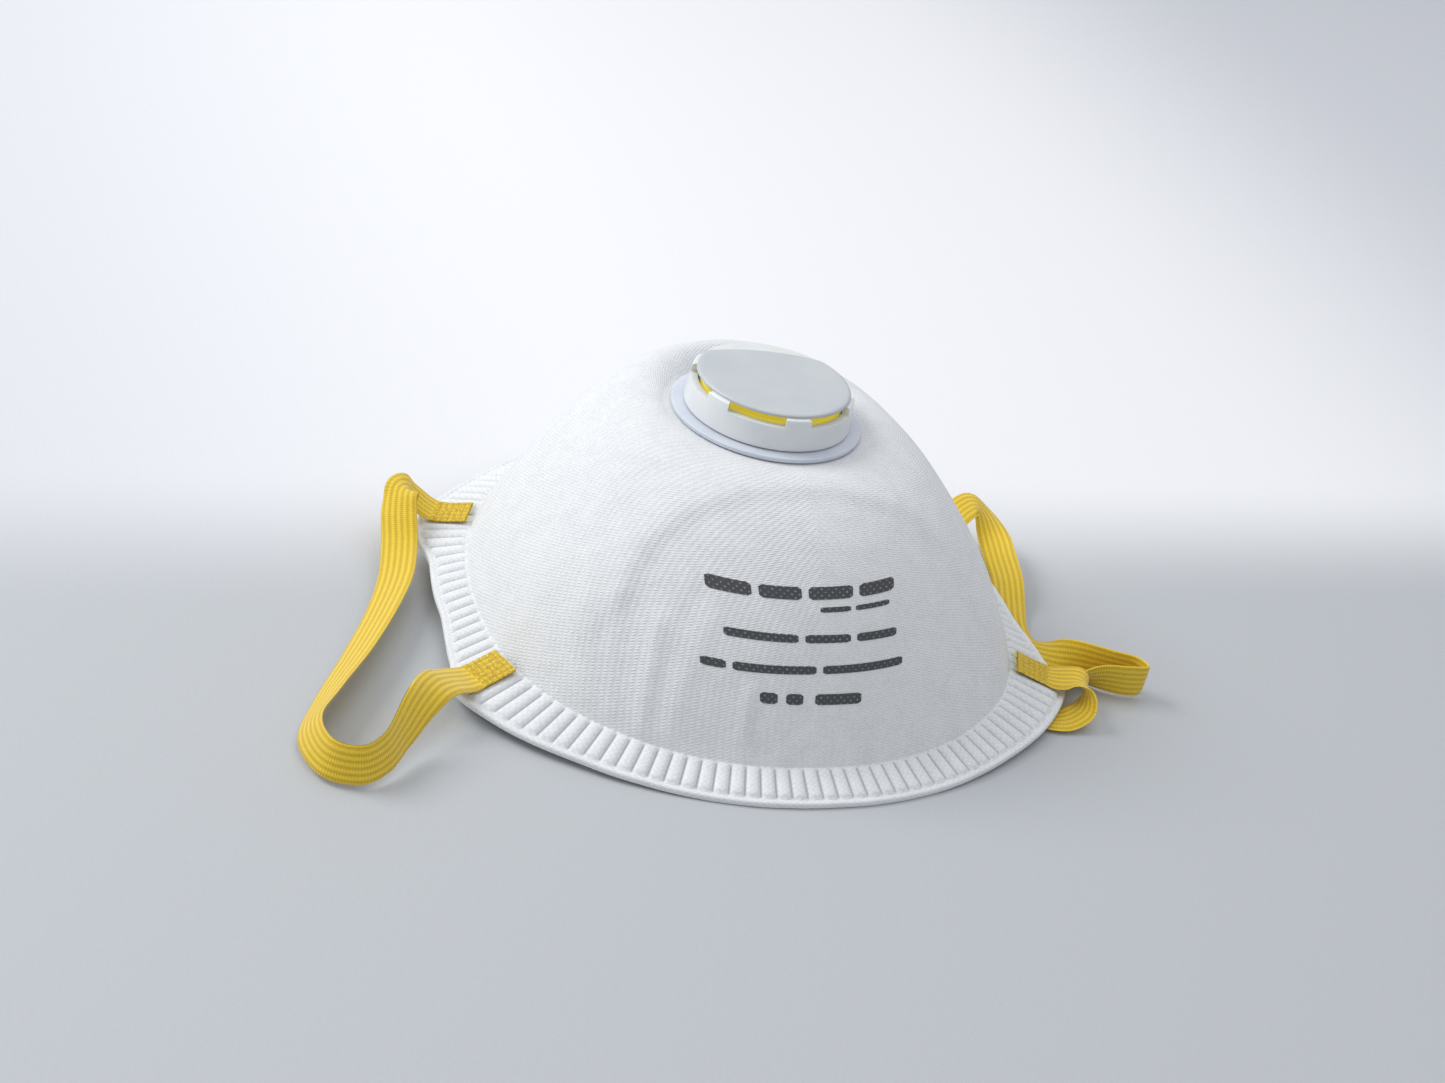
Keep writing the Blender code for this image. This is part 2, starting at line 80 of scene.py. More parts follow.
# ---------------------------------------------------------------- former
# Every layer of the cup is pressed hot over one aluminium former: a flat seat for the valve,
# a wall that swells behind it towards the nose, and a nearly flat flange that ends in tabs.
# Angle round the rim from the chin (-90) to the nose (90), radius where the cup meets the
# flange, radius of the edge, and height of the edge's underside.
FORMER_RIM = np.array(
    (
        (-90, 0.0590, 0.0674, 0.0000),
        (-72, 0.0598, 0.0684, 0.0000),
        (-50, 0.0622, 0.0716, 0.0010),
        (-33, 0.0636, 0.0760, 0.0020),
        (-25, 0.0636, 0.0774, 0.0024),
        (-17, 0.0628, 0.0728, 0.0028),
        (-3, 0.0614, 0.0688, 0.0034),
        (10, 0.0612, 0.0690, 0.0042),
        (19, 0.0614, 0.0732, 0.0047),
        (25, 0.0616, 0.0742, 0.0051),
        (33, 0.0612, 0.0712, 0.0062),
        (50, 0.0594, 0.0670, 0.0078),
        (66, 0.0580, 0.0664, 0.0036),
        (78, 0.0573, 0.0672, 0.0000),
        (90, 0.0571, 0.0674, 0.0000),
    )
)
EDGE_STACK = 0.0013
EDGE_STRIP = 0.0022
FLANGE_RISE = 0.0026
SEAT_RADIUS = 0.0225
SEAT_PLACE = Vector((0, 0.0082, 0.0482))
SEAT_TILT = radians(-1)
# For the sides, the nose and the chin: reach, swell, fullness and lean of the wall.
SIDE_SHAPE = (0.30, 0.0050, 0.40, radians(18))
NOSE_SHAPE = (0.45, 0.0175, 0.40, radians(28))
CHIN_SHAPE = (0.47, 0.0000, 0.44, radians(24))
NOSE_REACH = 1.8
CHIN_REACH = 1.5
SEAT = Matrix.Translation(SEAT_PLACE) @ Matrix.Rotation(SEAT_TILT, 4, "X")


def rim(phi):
    """Meeting radius, edge radius and edge height, on curves that never overshoot."""
    angle = (np.degrees(phi) + 90) % 360 - 90
    angle = np.where(angle > 90, 180 - angle, angle)
    xs = FORMER_RIM[:, 0]
    k = np.clip(np.searchsorted(xs, angle, side="right") - 1, 0, len(xs) - 2)
    step = xs[k + 1] - xs[k]
    t = (angle - xs[k]) / step
    found = []
    for ys in FORMER_RIM[:, 1:].T:
        rise = np.diff(ys) / np.diff(xs)
        both = rise[:-1] * rise[1:]
        total = np.where(both > 0, rise[:-1] + rise[1:], 1)
        slope = np.concatenate(([0], np.where(both > 0, 2 * both / total, 0), [0]))
        found.append(
            ys[k] * (1 + 2 * t) * (1 - t) ** 2
            + slope[k] * step * t * (1 - t) ** 2
            + ys[k + 1] * t * t * (3 - 2 * t)
            - slope[k + 1] * step * t * t * (1 - t)
        )
    return found


def round_seat(radius, phi, height=0.0):
    """Points in the seat's own frame, brought into the mask's."""
    flat = np.stack([radius * np.cos(phi), radius * np.sin(phi), height + 0 * phi], -1)
    turn = np.array(SEAT.to_3x3())
    return flat @ turn.T + np.array(SEAT_PLACE)


def cup_wall(phi, t):
    """Outer face of the cup: t runs from the valve's seat (0) to the flange (1)."""
    meeting, _, height = rim(phi)
    east, north = np.cos(phi), np.sin(phi)
    nose = np.maximum(0, north) ** NOSE_REACH
    chin = np.maximum(0, -north) ** CHIN_REACH
    columns = zip(SIDE_SHAPE, NOSE_SHAPE, CHIN_SHAPE)
    reach, swell, fullness, lean = [
        (1 - nose - chin) * a + nose * b + chin * c for a, b, c in columns
    ]
    top = round_seat(SEAT_RADIUS, phi)
    foot = np.stack([meeting * east, meeting * north, height + EDGE_STACK + FLANGE_RISE], -1)
    across = np.linalg.norm((foot - top)[..., :2], axis=-1)
    outward = (round_seat(1.0, phi) - np.array(SEAT_PLACE)) * (across * reach)[..., None]
    outward[..., 2] += swell
    upward = np.stack([-east * np.tan(lean), -north * np.tan(lean), 1 + 0 * phi], -1)
    upward *= ((top[..., 2] - foot[..., 2]) * fullness)[..., None]
    t = np.asarray(t)[..., None]
    return (
        top * (1 - t) ** 3
        + 3 * (top + outward) * t * (1 - t) ** 2
        + 3 * (foot + upward) * t * t * (1 - t)
        + foot * t**3
    )


def flange(phi, share, strip=EDGE_STRIP):
    """Upper face of the flange: share runs from the foot of the cup (0) to the strip (1)."""
    meeting, edge, height = rim(phi)
    radius = meeting + (edge - strip - meeting) * share
    z = height + EDGE_STACK + FLANGE_RISE * (1 - share)
    return np.stack([radius * np.cos(phi), radius * np.sin(phi), z], -1)


# ---------------------------------------------------------------- outer cover
# The white outer skin is an embossed spunbond polypropylene. It is pressed over the former
# and hot-welded to the lining round the rim, where the tool leaves a ring of pillow ribs.
RIB_PITCH = 0.0032
RIB_HALF_WIDTH = 0.00136
RIB_CORNER = 0.00080
RIB_HEIGHT = 0.00068
RIB_START = 0.0003
RIB_STOP = 0.0002
GROOVE_DEPTH = 0.00022
RIB_STATIONS = (0.0, 0.06, 0.11, 0.19, 0.34, 0.5, 0.66, 0.81, 0.89, 0.94)
# Across the flat outer strip: share of its width, and how far below its top face.
EDGE_SECTION = (
    (0.25, 0.0000),
    (0.70, 0.0000),
    (0.90, 0.0001),
    (1.00, 0.0004),
    (1.00, 0.0009),
    (0.95, 0.0012),
)
COVER_THICKNESS = 0.0005
HOLE_RADIUS = 0.0145
SEAT_ROWS = 4
WALL_ROWS = 56
WALL_EVERY = 5
FLANGE_ROWS = 17
RIB_LEAN = (0.35, 0.94)
EDGE_SWAY = 0.00012
EMBOSS_PITCH = 0.00118
COVER_WHITE = (0.77, 0.785, 0.79, 1)
COVER_GREY = (0.65, 0.665, 0.68, 1)
# Painted shade for the grooves between the rim's ribs, not a colour of the cloth.
GROOVE_PAINTED_SHADE = (0.36, 0.38, 0.40, 1)
RIM_FOOT = 0.0900
RIM_WIDTH = 0.0076
RIM_STRIP = 0.0014
EDGE_ROW_STEP = 0.0004
# The chin panel's upper seam line, one half of it seen from above: x, y, height.
PANEL_LINE = (
    (0.0000, -0.0204, 0.0480),
    (0.0100, -0.0206, 0.0475),
    (0.0180, -0.0211, 0.0460),
    (0.0250, -0.0220, 0.0434),
    (0.0300, -0.0233, 0.0404),
    (0.0345, -0.0250, 0.0365),
    (0.0375, -0.0275, 0.0320),
    (0.0400, -0.0300, 0.0280),
    (0.0440, -0.0315, 0.0225),
)
PANEL_DEPTH = 0.00046
PANEL_BROW = 0.00045
BROW_ABOVE = 0.0055
BROW_BELOW = 0.0030
PANEL_SHOULDER = 0.0045
PANEL_FADE = 0.0300
DEEPEST = -0.00068
# Soft unevenness of the skin: height, and features to the metre.
UNEVENNESS = ((0.00020, 60.0), (0.00005, 260.0))
# Soft folds from handling: angle and share down the wall for each point, height, half width.
FOLDS = (
    (((-125.5, 0.98), (-127, 0.875), (-129, 0.645)), 0.00048, 0.0013),
    (((-124.0, 0.93), (-124.5, 0.715), (-121, 0.52)), -0.00026, 0.0016),
    (((-120.5, 0.95), (-120.5, 0.80), (-117, 0.60)), 0.00026, 0.0016),
    (((-104.5, 0.99), (-106, 0.91), (-106, 0.78)), 0.00050, 0.0009),
    (((-102.8, 0.97), (-104.6, 0.905), (-103, 0.78)), -0.00035, 0.0008),
    (((-97.0, 0.98), (-99, 0.90), (-100, 0.84)), 0.00030, 0.0008),
    (((-133.0, 0.95), (-137, 0.80), (-139, 0.62)), 0.00045, 0.0022),
    (((-139.0, 0.93), (-145, 0.78), (-150, 0.58)), 0.00035, 0.0024),
    (((-55.0, 0.97), (-57, 0.84), (-61, 0.72)), 0.00035, 0.0020),
    (((-78.0, 0.985), (-79, 0.90), (-80, 0.84)), 0.00030, 0.0009),
)


def lay_mesh(name, rows, uv=None, closed=False):
    """A smooth mesh through rows of points, with its cloth coordinates in metres, if any."""
    count, width = rows.shape[:2]
    if uv is None:
        uv = np.zeros((count, width + 1, 2))
    spans = width if closed else width - 1
    i, j = np.meshgrid(np.arange(count - 1), np.arange(spans), indexing="ij")
    k = (j + 1) % width
    quads = np.stack([i * width + j, (i + 1) * width + j, (i + 1) * width + k, i * width + k], -1)
    mesh = bpy.data.meshes.new(name)
    mesh.from_pydata(rows.reshape(-1, 3).tolist(), [], quads.reshape(-1, 4).tolist())
    corners = np.stack([uv[i, j], uv[i + 1, j], uv[i + 1, j + 1], uv[i, j + 1]], -2)
    layer = mesh.uv_layers.new(name="cloth")
    layer.data.foreach_set("uv", corners.reshape(-1).astype(np.float32))
    mesh.shade_smooth()
    item = bpy.data.objects.new(name, mesh)
    bpy.context.scene.collection.objects.link(item)
    return item


def cloth_grid(around, along):
    """Cloth coordinates of a mesh's points, from their way round and their way along."""
    return np.stack(np.broadcast_arrays(around, along), -1)


def joined(name, items):
    """Several meshes as one piece."""
    with bpy.context.temp_override(active_object=items[0], selected_editable_objects=items):
        bpy.ops.object.join()
    items[0].name = name
    items[0].data.name = name
    return items[0]


class Value:
    """One socket of a finish; arithmetic on it adds Math nodes to the finish."""

    def __init__(self, finish, socket):
        self.finish = finish
        self.socket = socket

    def math(self, operation, *terms):
        return self.finish.node("ShaderNodeMath", {"operation": operation}, dict(enumerate(terms)))

    def __add__(self, other):
        return self.math("ADD", self, other)

    def __radd__(self, other):
        return self.math("ADD", other, self)

    def __sub__(self, other):
        return self.math("SUBTRACT", self, other)

    def __rsub__(self, other):
        return self.math("SUBTRACT", other, self)

    def __mul__(self, other):
        return self.math("MULTIPLY", self, other)

    def __rmul__(self, other):
        return self.math("MULTIPLY", other, self)

    def wave(self, pitch):
        """A cosine of that pitch, from 0 to 1."""
        return self.math("COSINE", self * (2 * pi / pitch)) * 0.5 + 0.5

    def step(self, start, end):
        """A soft step, 0 before start and 1 after end."""
        settings = {"interpolation_type": "SMOOTHSTEP"}
        return self.finish.node(
            "ShaderNodeMapRange", settings, {"Value": self, "From Min": start, "From Max": end}
        )


class Finish:
    """A material with one Principled shader, and the one way to add any other node."""

    def __init__(self, name, color, roughness, **constants):
        self.material = bpy.data.materials.new(name)
        self.material.use_nodes = True
        self.tree = self.material.node_tree
        self.shader = self.tree.nodes["Principled BSDF"]
        self.feed("Base Color", color)
        self.feed("Roughness", roughness)
        for key, value in constants.items():
            self.feed(key.replace("_", " "), value)

    def node(self, kind, settings=None, values=None, out=0):
        item = self.tree.nodes.new(kind)
        for key, value in (settings or {}).items():
            setattr(item, key, value)
        for key, value in (values or {}).items():
            self.join(item.inputs[key], value)
        return Value(self, item.outputs[out])

    def join(self, target, value):
        if isinstance(value, Value):
            self.tree.links.new(value.socket, target)
        else:
            target.default_value = value

    def feed(self, key, value):
        self.join(self.shader.inputs[key], value)

    def blend(self, factor, first, second):
        """One colour turning into another."""
        settings = {"data_type": "RGBA"}
        return self.node("ShaderNodeMix", settings, {0: factor, 6: first, 7: second}, out=2)

    def cloth(self):
        """The two cloth coordinates, across and along, in metres."""
        uv = self.node("ShaderNodeUVMap", {"uv_map": "cloth"})
        return [self.node("ShaderNodeSeparateXYZ", None, {0: uv}, out=i) for i in (0, 1)]

    def grain(self, scale, detail=3.0):
        """Even random mottling of that many features to the metre."""
        place = self.node("ShaderNodeTexCoord", out=3)
        values = {"Vector": place, "Scale": scale, "Detail": detail}
        return self.node("ShaderNodeTexNoise", None, values)

    def relief(self, height, depth):
        """Bumps of that depth where height goes from 0 to 1."""
        values = {"Strength": 1.0, "Distance": depth, "Height": height}
        self.feed("Normal", self.node("ShaderNodeBump", None, values))

    def dress(self, item):
        item.data.materials.clear()
        item.data.materials.append(self.material)
        return item


def smooth_through(points, t):
    """Points of a smooth curve through the given ones, for an array of t from 0 to 1."""
    place = t * (len(points) - 1)
    k = np.minimum(place.astype(int), len(points) - 2)
    u = (place - k)[:, None]
    a, b = points[np.maximum(k - 1, 0)], points[k]
    c, d = points[k + 1], points[np.minimum(k + 2, len(points) - 1)]
    bend = a * 2 - b * 5 + c * 4 - d
    turn = b * 3 - a - c * 3 + d
    return (b * 2 + (c - a) * u + bend * u**2 + turn * u**3) / 2


def unit(vectors):
    return vectors / np.linalg.norm(vectors, axis=-1, keepdims=True)


dense = np.linspace(-pi / 2, 3 * pi / 2, 4001)
mid_flange = flange(dense, 0.5, RIM_STRIP)
run_round = np.concatenate(([0], np.cumsum(np.linalg.norm(np.diff(mid_flange, axis=0), axis=1))))
rim_length = run_round[-1]
ribs = round(rim_length / RIB_PITCH)
rib_phase = (np.arange(ribs)[:, None] + RIB_STATIONS).reshape(-1)
fine_angles = np.interp(rib_phase / ribs * rim_length, run_round, dense)
wall_angles = fine_angles[::WALL_EVERY]
round_uv = (np.append(rib_phase, ribs) - ribs / 2) * rim_length / ribs
wall_round_uv = round_uv[::WALL_EVERY]


def soft_step(value, start, end):
    t = np.clip((value - start) / (end - start), 0, 1)
    return t * t * (3 - 2 * t)


def distance_to(line, points):
    """Distance from each point to a line of straight runs."""
    nearest = np.full(points.shape[:-1], np.inf)
    for a, b in zip(line[:-1], line[1:]):
        run = b - a
        t = np.clip(((points - a) @ run) / (run @ run), 0, 1)[..., None]
        nearest = np.minimum(nearest, np.linalg.norm(points - a - run * t, axis=-1))
    return nearest


def mottle(points, scale):
    flat = points.reshape(-1, 3) * scale
    found = [noise.noise(Vector(p)) for p in flat.tolist()]
    return np.array(found).reshape(points.shape[:-1])


def pressed(points):
    """How far the skin stands off the former: the chin panel, the folds and a soft unevenness."""
    half = np.array(PANEL_LINE)
    line = np.concatenate((half[::-1] * (-1, 1, 1), half[1:]))
    inside = points[..., 1] < np.interp(np.abs(points[..., 0]), half[:, 0], half[:, 1])
    inside &= np.abs(points[..., 0]) < half[-1, 0]
    away = distance_to(line, points)
    sunk = soft_step(away, 0, PANEL_SHOULDER) * (1 - soft_step(away, PANEL_SHOULDER, PANEL_FADE))
    relief = -PANEL_DEPTH * sunk * inside
    relief += PANEL_BROW * np.exp(-((away / BROW_ABOVE) ** 2)) * ~inside
    relief += PANEL_BROW * np.exp(-((away / BROW_BELOW) ** 2)) * inside
    for stations, height, half_width in FOLDS:
        angles, down = np.array(stations).T
        fold = smooth_through(cup_wall(np.radians(angles), down), np.linspace(0, 1, 12))
        along_fold = distance_to(fold, points) / half_width
        relief += height * np.exp(-(along_fold**2))
    for height, scale in UNEVENNESS:
        relief += height * mottle(points, scale)
    return np.maximum(relief, DEEPEST)


def normals_of(rows):
    """Outward normals of rows that close on themselves."""
    round_way = np.roll(rows, -1, axis=1) - np.roll(rows, 1, axis=1)
    down = np.gradient(rows, axis=0)
    return unit(np.cross(down, round_way))


def wall_uv(rows, closing):
    """Cloth coordinates of a wall: round the chin's meridian and down the wall."""
    down = np.linalg.norm(np.diff(rows, axis=0), axis=-1).mean(axis=1)
    v = np.concatenate(([0], np.cumsum(down)))
    radius = np.linalg.norm(rows[..., :2], axis=-1).mean(axis=1)
    u = closing[None, :] * radius[:, None] * (2 * pi / rim_length)
    return cloth_grid(u, v[:, None])


shares = np.linspace(0, 1, WALL_ROWS)
seat_radii = np.linspace(HOLE_RADIUS, SEAT_RADIUS, SEAT_ROWS + 1)[:-1]
seat_rows = [round_seat(radius, wall_angles) for radius in seat_radii]
wall_rows = [cup_wall(wall_angles, np.full(len(wall_angles), t)) for t in shares]
wall = np.stack(seat_rows + wall_rows)
wall_out = normals_of(wall)
settle = soft_step(shares, 0.0, 0.06) * (1 - soft_step(shares, 0.97, 1.0))
settle = np.concatenate((np.zeros(SEAT_ROWS), settle))
cover_wall = wall + wall_out * (pressed(wall) * settle[:, None])[..., None]
lip = cover_wall[0] - wall_out[0] * COVER_THICKNESS
cover_wall = np.concatenate((lip[None], cover_wall))
wall_part = lay_mesh("cover_wall", cover_wall, wall_uv(cover_wall, wall_round_uv), closed=True)


def rib_relief(depth_in, length):
    """Height of the pillow ribs at a distance out from the cup's foot."""
    side = np.abs(rib_phase % 1 - 0.5) * rim_length / ribs
    middle, half = (RIB_START + length - RIB_STOP) / 2, (length - RIB_STOP - RIB_START) / 2
    past_side = np.maximum(side - RIB_HALF_WIDTH + RIB_CORNER, 0)
    past_end = np.maximum(np.abs(depth_in - middle) - half + RIB_CORNER, 0)
    inside = RIB_CORNER - np.hypot(past_side, past_end)
    pillow = 1 - 0.22 * (side / RIB_HALF_WIDTH) ** 2
    return RIB_HEIGHT * np.sqrt(soft_step(inside, -0.0001, 0.00060)) * pillow


meeting, edge, height = rim(fine_angles)
flange_length = np.hypot(edge - RIM_STRIP - meeting, FLANGE_RISE)
outward, upward = RIB_LEAN
tilt = [np.cos(fine_angles) * outward, np.sin(fine_angles) * outward, upward + 0 * height]
tilt = np.stack(tilt, -1)
flange_rows = []
for share in np.linspace(0, 1, FLANGE_ROWS):
    base = flange(fine_angles, share, RIM_STRIP)
    fade = min(1, share * 12)
    lift = rib_relief(share * flange_length, flange_length) - GROOVE_DEPTH * fade
    flange_rows.append(base + tilt * lift[:, None] * fade)
sway = EDGE_SWAY * mottle(flange(fine_angles, 1.0)[None], 120.0)[0]


def round_edge(radius, z):
    """One row of points round the rim."""
    return np.stack([radius * np.cos(fine_angles), radius * np.sin(fine_angles), z], -1)


for out, drop in EDGE_SECTION:
    radius = edge - RIM_STRIP * (1 - out) + sway * out
    flange_rows.append(round_edge(radius, height + EDGE_STACK - drop))
flange_rows = np.stack(flange_rows)
strip_v = RIM_WIDTH + EDGE_ROW_STEP * np.arange(1, len(EDGE_SECTION) + 1)
flange_v = RIM_FOOT + np.append(np.linspace(0, RIM_WIDTH, FLANGE_ROWS), strip_v)
flange_uv = cloth_grid(round_uv, flange_v[:, None])
flange_part = lay_mesh("cover_flange", flange_rows, flange_uv, closed=True)
cover = joined("cover_skin", [wall_part, flange_part])


def bond_lattice(u, v):
    """The diamond pattern in which the embossing roller bonds the fibres."""
    return (u * 0.8 + v).wave(EMBOSS_PITCH) * (u * 0.8 - v).wave(EMBOSS_PITCH)


def nonwoven(name, light, dark, depth, ribbed_rim_with_groove_shade=False):
    """White spunbond: a fine embossed lattice of bond points between tangled fibres, and on the
    ribbed rim painted shade in the grooves.
    """
    skin = Finish(name, light, 0.88, Sheen_Weight=0.12, Sheen_Roughness=0.6)
    u, v = skin.cloth()
    lattice = bond_lattice(u, v)
    fibres = skin.grain(1500.0, 4.0)
    clumps = skin.grain(240.0, 2.0)
    tone = lattice * 0.30 + fibres * 0.60 + clumps * 0.35
    shade = skin.blend(tone.step(0.25, 0.75), dark, light)
    if not ribbed_rim_with_groove_shade:
        skin.feed("Base Color", shade)
        skin.relief(lattice * 0.6 + fibres * 0.7, depth)
        return skin
    on_rim = v.step(RIM_FOOT + 0.0002, RIM_FOOT + 0.0008)
    on_rim = on_rim * (1 - v.step(RIM_FOOT + RIM_WIDTH - 0.0006, RIM_FOOT + RIM_WIDTH))
    # The grooves between the ribs get painted shade: darker colour where shadow falls between them.
    painted_groove_shade = (u + rim_length / 2).wave(rim_length / ribs).step(0.90, 1.0) * on_rim
    skin.feed("Base Color", skin.blend(painted_groove_shade * 0.75, shade, GROOVE_PAINTED_SHADE))
    ironed = v.step(RIM_FOOT - 0.0008, RIM_FOOT)
    skin.relief(lattice * (0.6 - ironed * 0.55) + fibres * (0.7 - ironed * 0.4), depth)
    return skin


cover_cloth = nonwoven("embossed_nonwoven", COVER_WHITE, COVER_GREY, 0.00016, ribbed_rim_with_groove_shade=True)
cover_cloth.dress(cover)
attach(cover, "mask")
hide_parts("outer_cover")


# ---------------------------------------------------------------- printed marks
# The maker's print on the chin panel is plain dark ink. Here it is only bars that stand for
# lines of print: no letters, numbers or marks.
# Each line: share down the wall, its change per metre of x, half height, and its bars in x.
PRINT_LINES = (
    (
        0.484, -0.60, 0.00115,
        ((-0.0222, -0.0136), (-0.0122, -0.0040), (-0.0026, 0.0064), (0.0078, 0.0158)),
    ),
    (0.534, -0.55, 0.00045, ((-0.0004, 0.0060), (0.0070, 0.0147))),
    (0.618, -0.27, 0.00070, ((-0.0196, -0.0050), (-0.0036, 0.0060), (0.0074, 0.0166))),
    (0.707, -0.40, 0.00070, ((-0.0245, -0.0195), (-0.0182, -0.0012), (0.0002, 0.0184))),
    (0.792, -0.10, 0.00095, ((-0.0128, -0.0092), (-0.0074, -0.0038), (-0.0012, 0.0090))),
)
WALL_LENGTH = 0.060
BAR_COLUMN = 0.0007
BAR_CORNER = 0.0007
INK_LIFT = 0.00008
INK = (0.060, 0.062, 0.066, 1)
INK_WORN = (0.26, 0.27, 0.28, 1)


def on_panel(x, share):
    """Point of the chin panel at that x and share down the wall."""
    phi = np.full(x.shape, -pi / 2)
    for _ in range(6):
        reach = np.linalg.norm(cup_wall(phi, share)[..., :2], axis=-1)
        phi = -pi / 2 + np.arcsin(np.clip(x / reach, -0.9, 0.9))
    nudge = 0.002
    point = cup_wall(phi, share)
    east = cup_wall(phi + nudge, share) - cup_wall(phi - nudge, share)
    down = cup_wall(phi, share + nudge) - cup_wall(phi, share - nudge)
    out = unit(np.cross(down, east))
    return point + out * (pressed(point) + INK_LIFT)[..., None]


bars = []
for share, slope, half_height, spans in PRINT_LINES:
    for start, end in spans:
        columns = max(6, round((end - start) / BAR_COLUMN))
        x = np.linspace(start, end, columns)
        corner = np.clip(np.minimum(x - start, end - x) / BAR_CORNER, 0, 1)
        tall = np.sqrt(1 - (1 - corner) ** 2) * 0.35 + 0.65
        v = np.linspace(-1, 1, 5)[:, None]
        shares_here = share + slope * x + v * tall * half_height / WALL_LENGTH
        rows = on_panel(np.broadcast_to(x, shares_here.shape), shares_here)
        uv = cloth_grid(x, shares_here * WALL_LENGTH)
        bars.append(lay_mesh(f"bar_{len(bars)}", rows, uv))
marks = joined("printed_bars", bars)
ink = Finish("print_ink", INK, 0.75)
worn = bond_lattice(*ink.cloth()) * 0.5 + ink.grain(1800.0) * 0.7
ink.feed("Base Color", ink.blend(worn.step(0.55, 1.0), INK, INK_WORN))
ink.relief(worn, 0.00012)
ink.dress(marks)
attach(marks, "mask")


# ---------------------------------------------------------------- lining
# The smooth inner nonwoven lies against the face. It is welded under the cover at the rim,
# and it also hides the two filter webs and the stiff shell, which stay as plain solids.
LINING_TOP = 0.0034
LINING_THICKNESS = 0.0005
LINING_SEAT_ROW = 0.0185
LINING_RIBS = 0.4
LINING_ROW_STEP = 0.0008
EDGE_GAP = 0.0008
# Across the lining's own edge: share of the strip's width, and how far above its underside.
LINING_EDGE = (
    (0.30, 0.0000),
    (0.80, 0.0000),
    (0.84, 0.0002),
    (0.84, LINING_THICKNESS),
    (0.50, LINING_THICKNESS),
)
LINING_WHITE = (0.82, 0.83, 0.83, 1)
LINING_GREY = (0.72, 0.73, 0.74, 1)
WEB_WHITE = (0.84, 0.85, 0.85, 1)
WEB_GREY = (0.80, 0.81, 0.82, 1)
FELT_CREAM = (0.78, 0.78, 0.76, 1)
FELT_GREY = (0.66, 0.66, 0.64, 1)

lining_shares = np.linspace(0, 1, 30)
lining_wall = np.stack(
    [round_seat(radius, wall_angles) for radius in (HOLE_RADIUS, LINING_SEAT_ROW)]
    + [cup_wall(wall_angles, np.full(len(wall_angles), t)) for t in lining_shares]
)
inward = -normals_of(lining_wall)
wall_depth = LINING_TOP + (EDGE_GAP - LINING_TOP) * soft_step(lining_shares, 0.95, 1.0)
depth = np.concatenate(((LINING_TOP, LINING_TOP), wall_depth))[:, None, None]
under = lining_wall + inward * (depth + LINING_THICKNESS)
over = lining_wall + inward * depth
lining_rows = np.concatenate((over[::-1], under))
lining_uv = wall_uv(lining_rows, wall_round_uv)
lining_wall_part = lay_mesh("lining_wall", lining_rows, lining_uv, closed=True)
under_rim = []
for share in np.linspace(0, 1, 9):
    base = flange(fine_angles, share) - np.array((0, 0, EDGE_GAP + LINING_THICKNESS))
    lift = rib_relief(share * flange_length, flange_length) * LINING_RIBS * min(1, share * 6)
    under_rim.append(base + np.array((0, 0, 1)) * lift[:, None])
for out, rise in LINING_EDGE:
    radius = edge - EDGE_STRIP * (1 - out) + sway * out
    under_rim.append(round_edge(radius, height + rise))
under_rim = np.stack(under_rim)[::-1]
rim_v = 2 * RIM_FOOT + np.cumsum(np.full(len(under_rim), LINING_ROW_STEP))
rim_uv = cloth_grid(round_uv, rim_v[:, None])
lining_rim_part = lay_mesh("lining_rim", under_rim, rim_uv, closed=True)
lining_rim_part.data.flip_normals()
lining = joined("lining_skin", [lining_wall_part, lining_rim_part])
lining_cloth = nonwoven("smooth_nonwoven", LINING_WHITE, LINING_GREY, 0.00006)
lining_cloth.dress(lining)
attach(lining, "mask")
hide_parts("inner_lining")

web = nonwoven("melt_blown_web", WEB_WHITE, WEB_GREY, 0.00004)
felt = nonwoven("moulded_felt", FELT_CREAM, FELT_GREY, 0.00012)
for node in ("filter_layer_1", "filter_layer_2"):
    web.dress(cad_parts[node])
felt.dress(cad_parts["shaping_shell"])


# ---------------------------------------------------------------- valve seat
# An injection-moulded polypropylene disc, bluish and slightly translucent. Its throat goes
# through the cup, and a hub on four spokes carries the pin that holds the flap.
LATHE_STEPS = 144
CLEARANCE = 0.0003
seat_low, seat_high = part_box("valve_seat")
PLATE_RADIUS = (seat_high[0] - seat_low[0]) / 2
PLATE_THICKNESS = 0.0010
PLATE_TOP = CLEARANCE + PLATE_THICKNESS
THROAT_RADIUS = 0.0142
THROAT_BORE = 0.0130
LIP_HEIGHT = 0.0040
LIP_TOP = CLEARANCE + LIP_HEIGHT
THROAT_END = -0.0066
HUB_RADIUS = 0.0030
HUB_DEPTH = 0.0020
SPOKES = 4
SPOKE_WIDTH = 0.0014
SPOKE_DEPTH = 0.0016
SPOKE_ROOT = 0.0004
BAR_ROUND = 0.0002
PIN_RADIUS = 0.0012
FLAP_THICKNESS = 0.0006
FLAP_LIFT = 0.0012
FLAP_BASE = LIP_TOP + CLEARANCE
FLAP_TOP = FLAP_BASE + FLAP_THICKNESS
PIN_TOP = FLAP_TOP + FLAP_LIFT + CLEARANCE
PLATE_BLUE = (0.56, 0.60, 0.68, 1)
PLATE_EDGE = (0.62, 0.66, 0.73, 1)


def eased(outline, radius, closed):
    """The outline with each corner turned by a small round of three chords."""
    found = []
    count = len(outline)
    for i, corner in enumerate(outline):
        corner = np.array(corner, float)
        if not closed and i in (0, count - 1):
            found.append(corner)
            continue
        before = np.array(outline[i - 1], float) - corner
        after = np.array(outline[(i + 1) % count], float) - corner
        cut = min(radius, np.linalg.norm(before) * 0.45, np.linalg.norm(after) * 0.45)
        start = corner + unit(before) * cut
        end = corner + unit(after) * cut
        for t in (0, 1 / 3, 2 / 3, 1):
            found.append(start * (1 - t) ** 2 + corner * 2 * t * (1 - t) + end * t * t)
    return np.array(found)


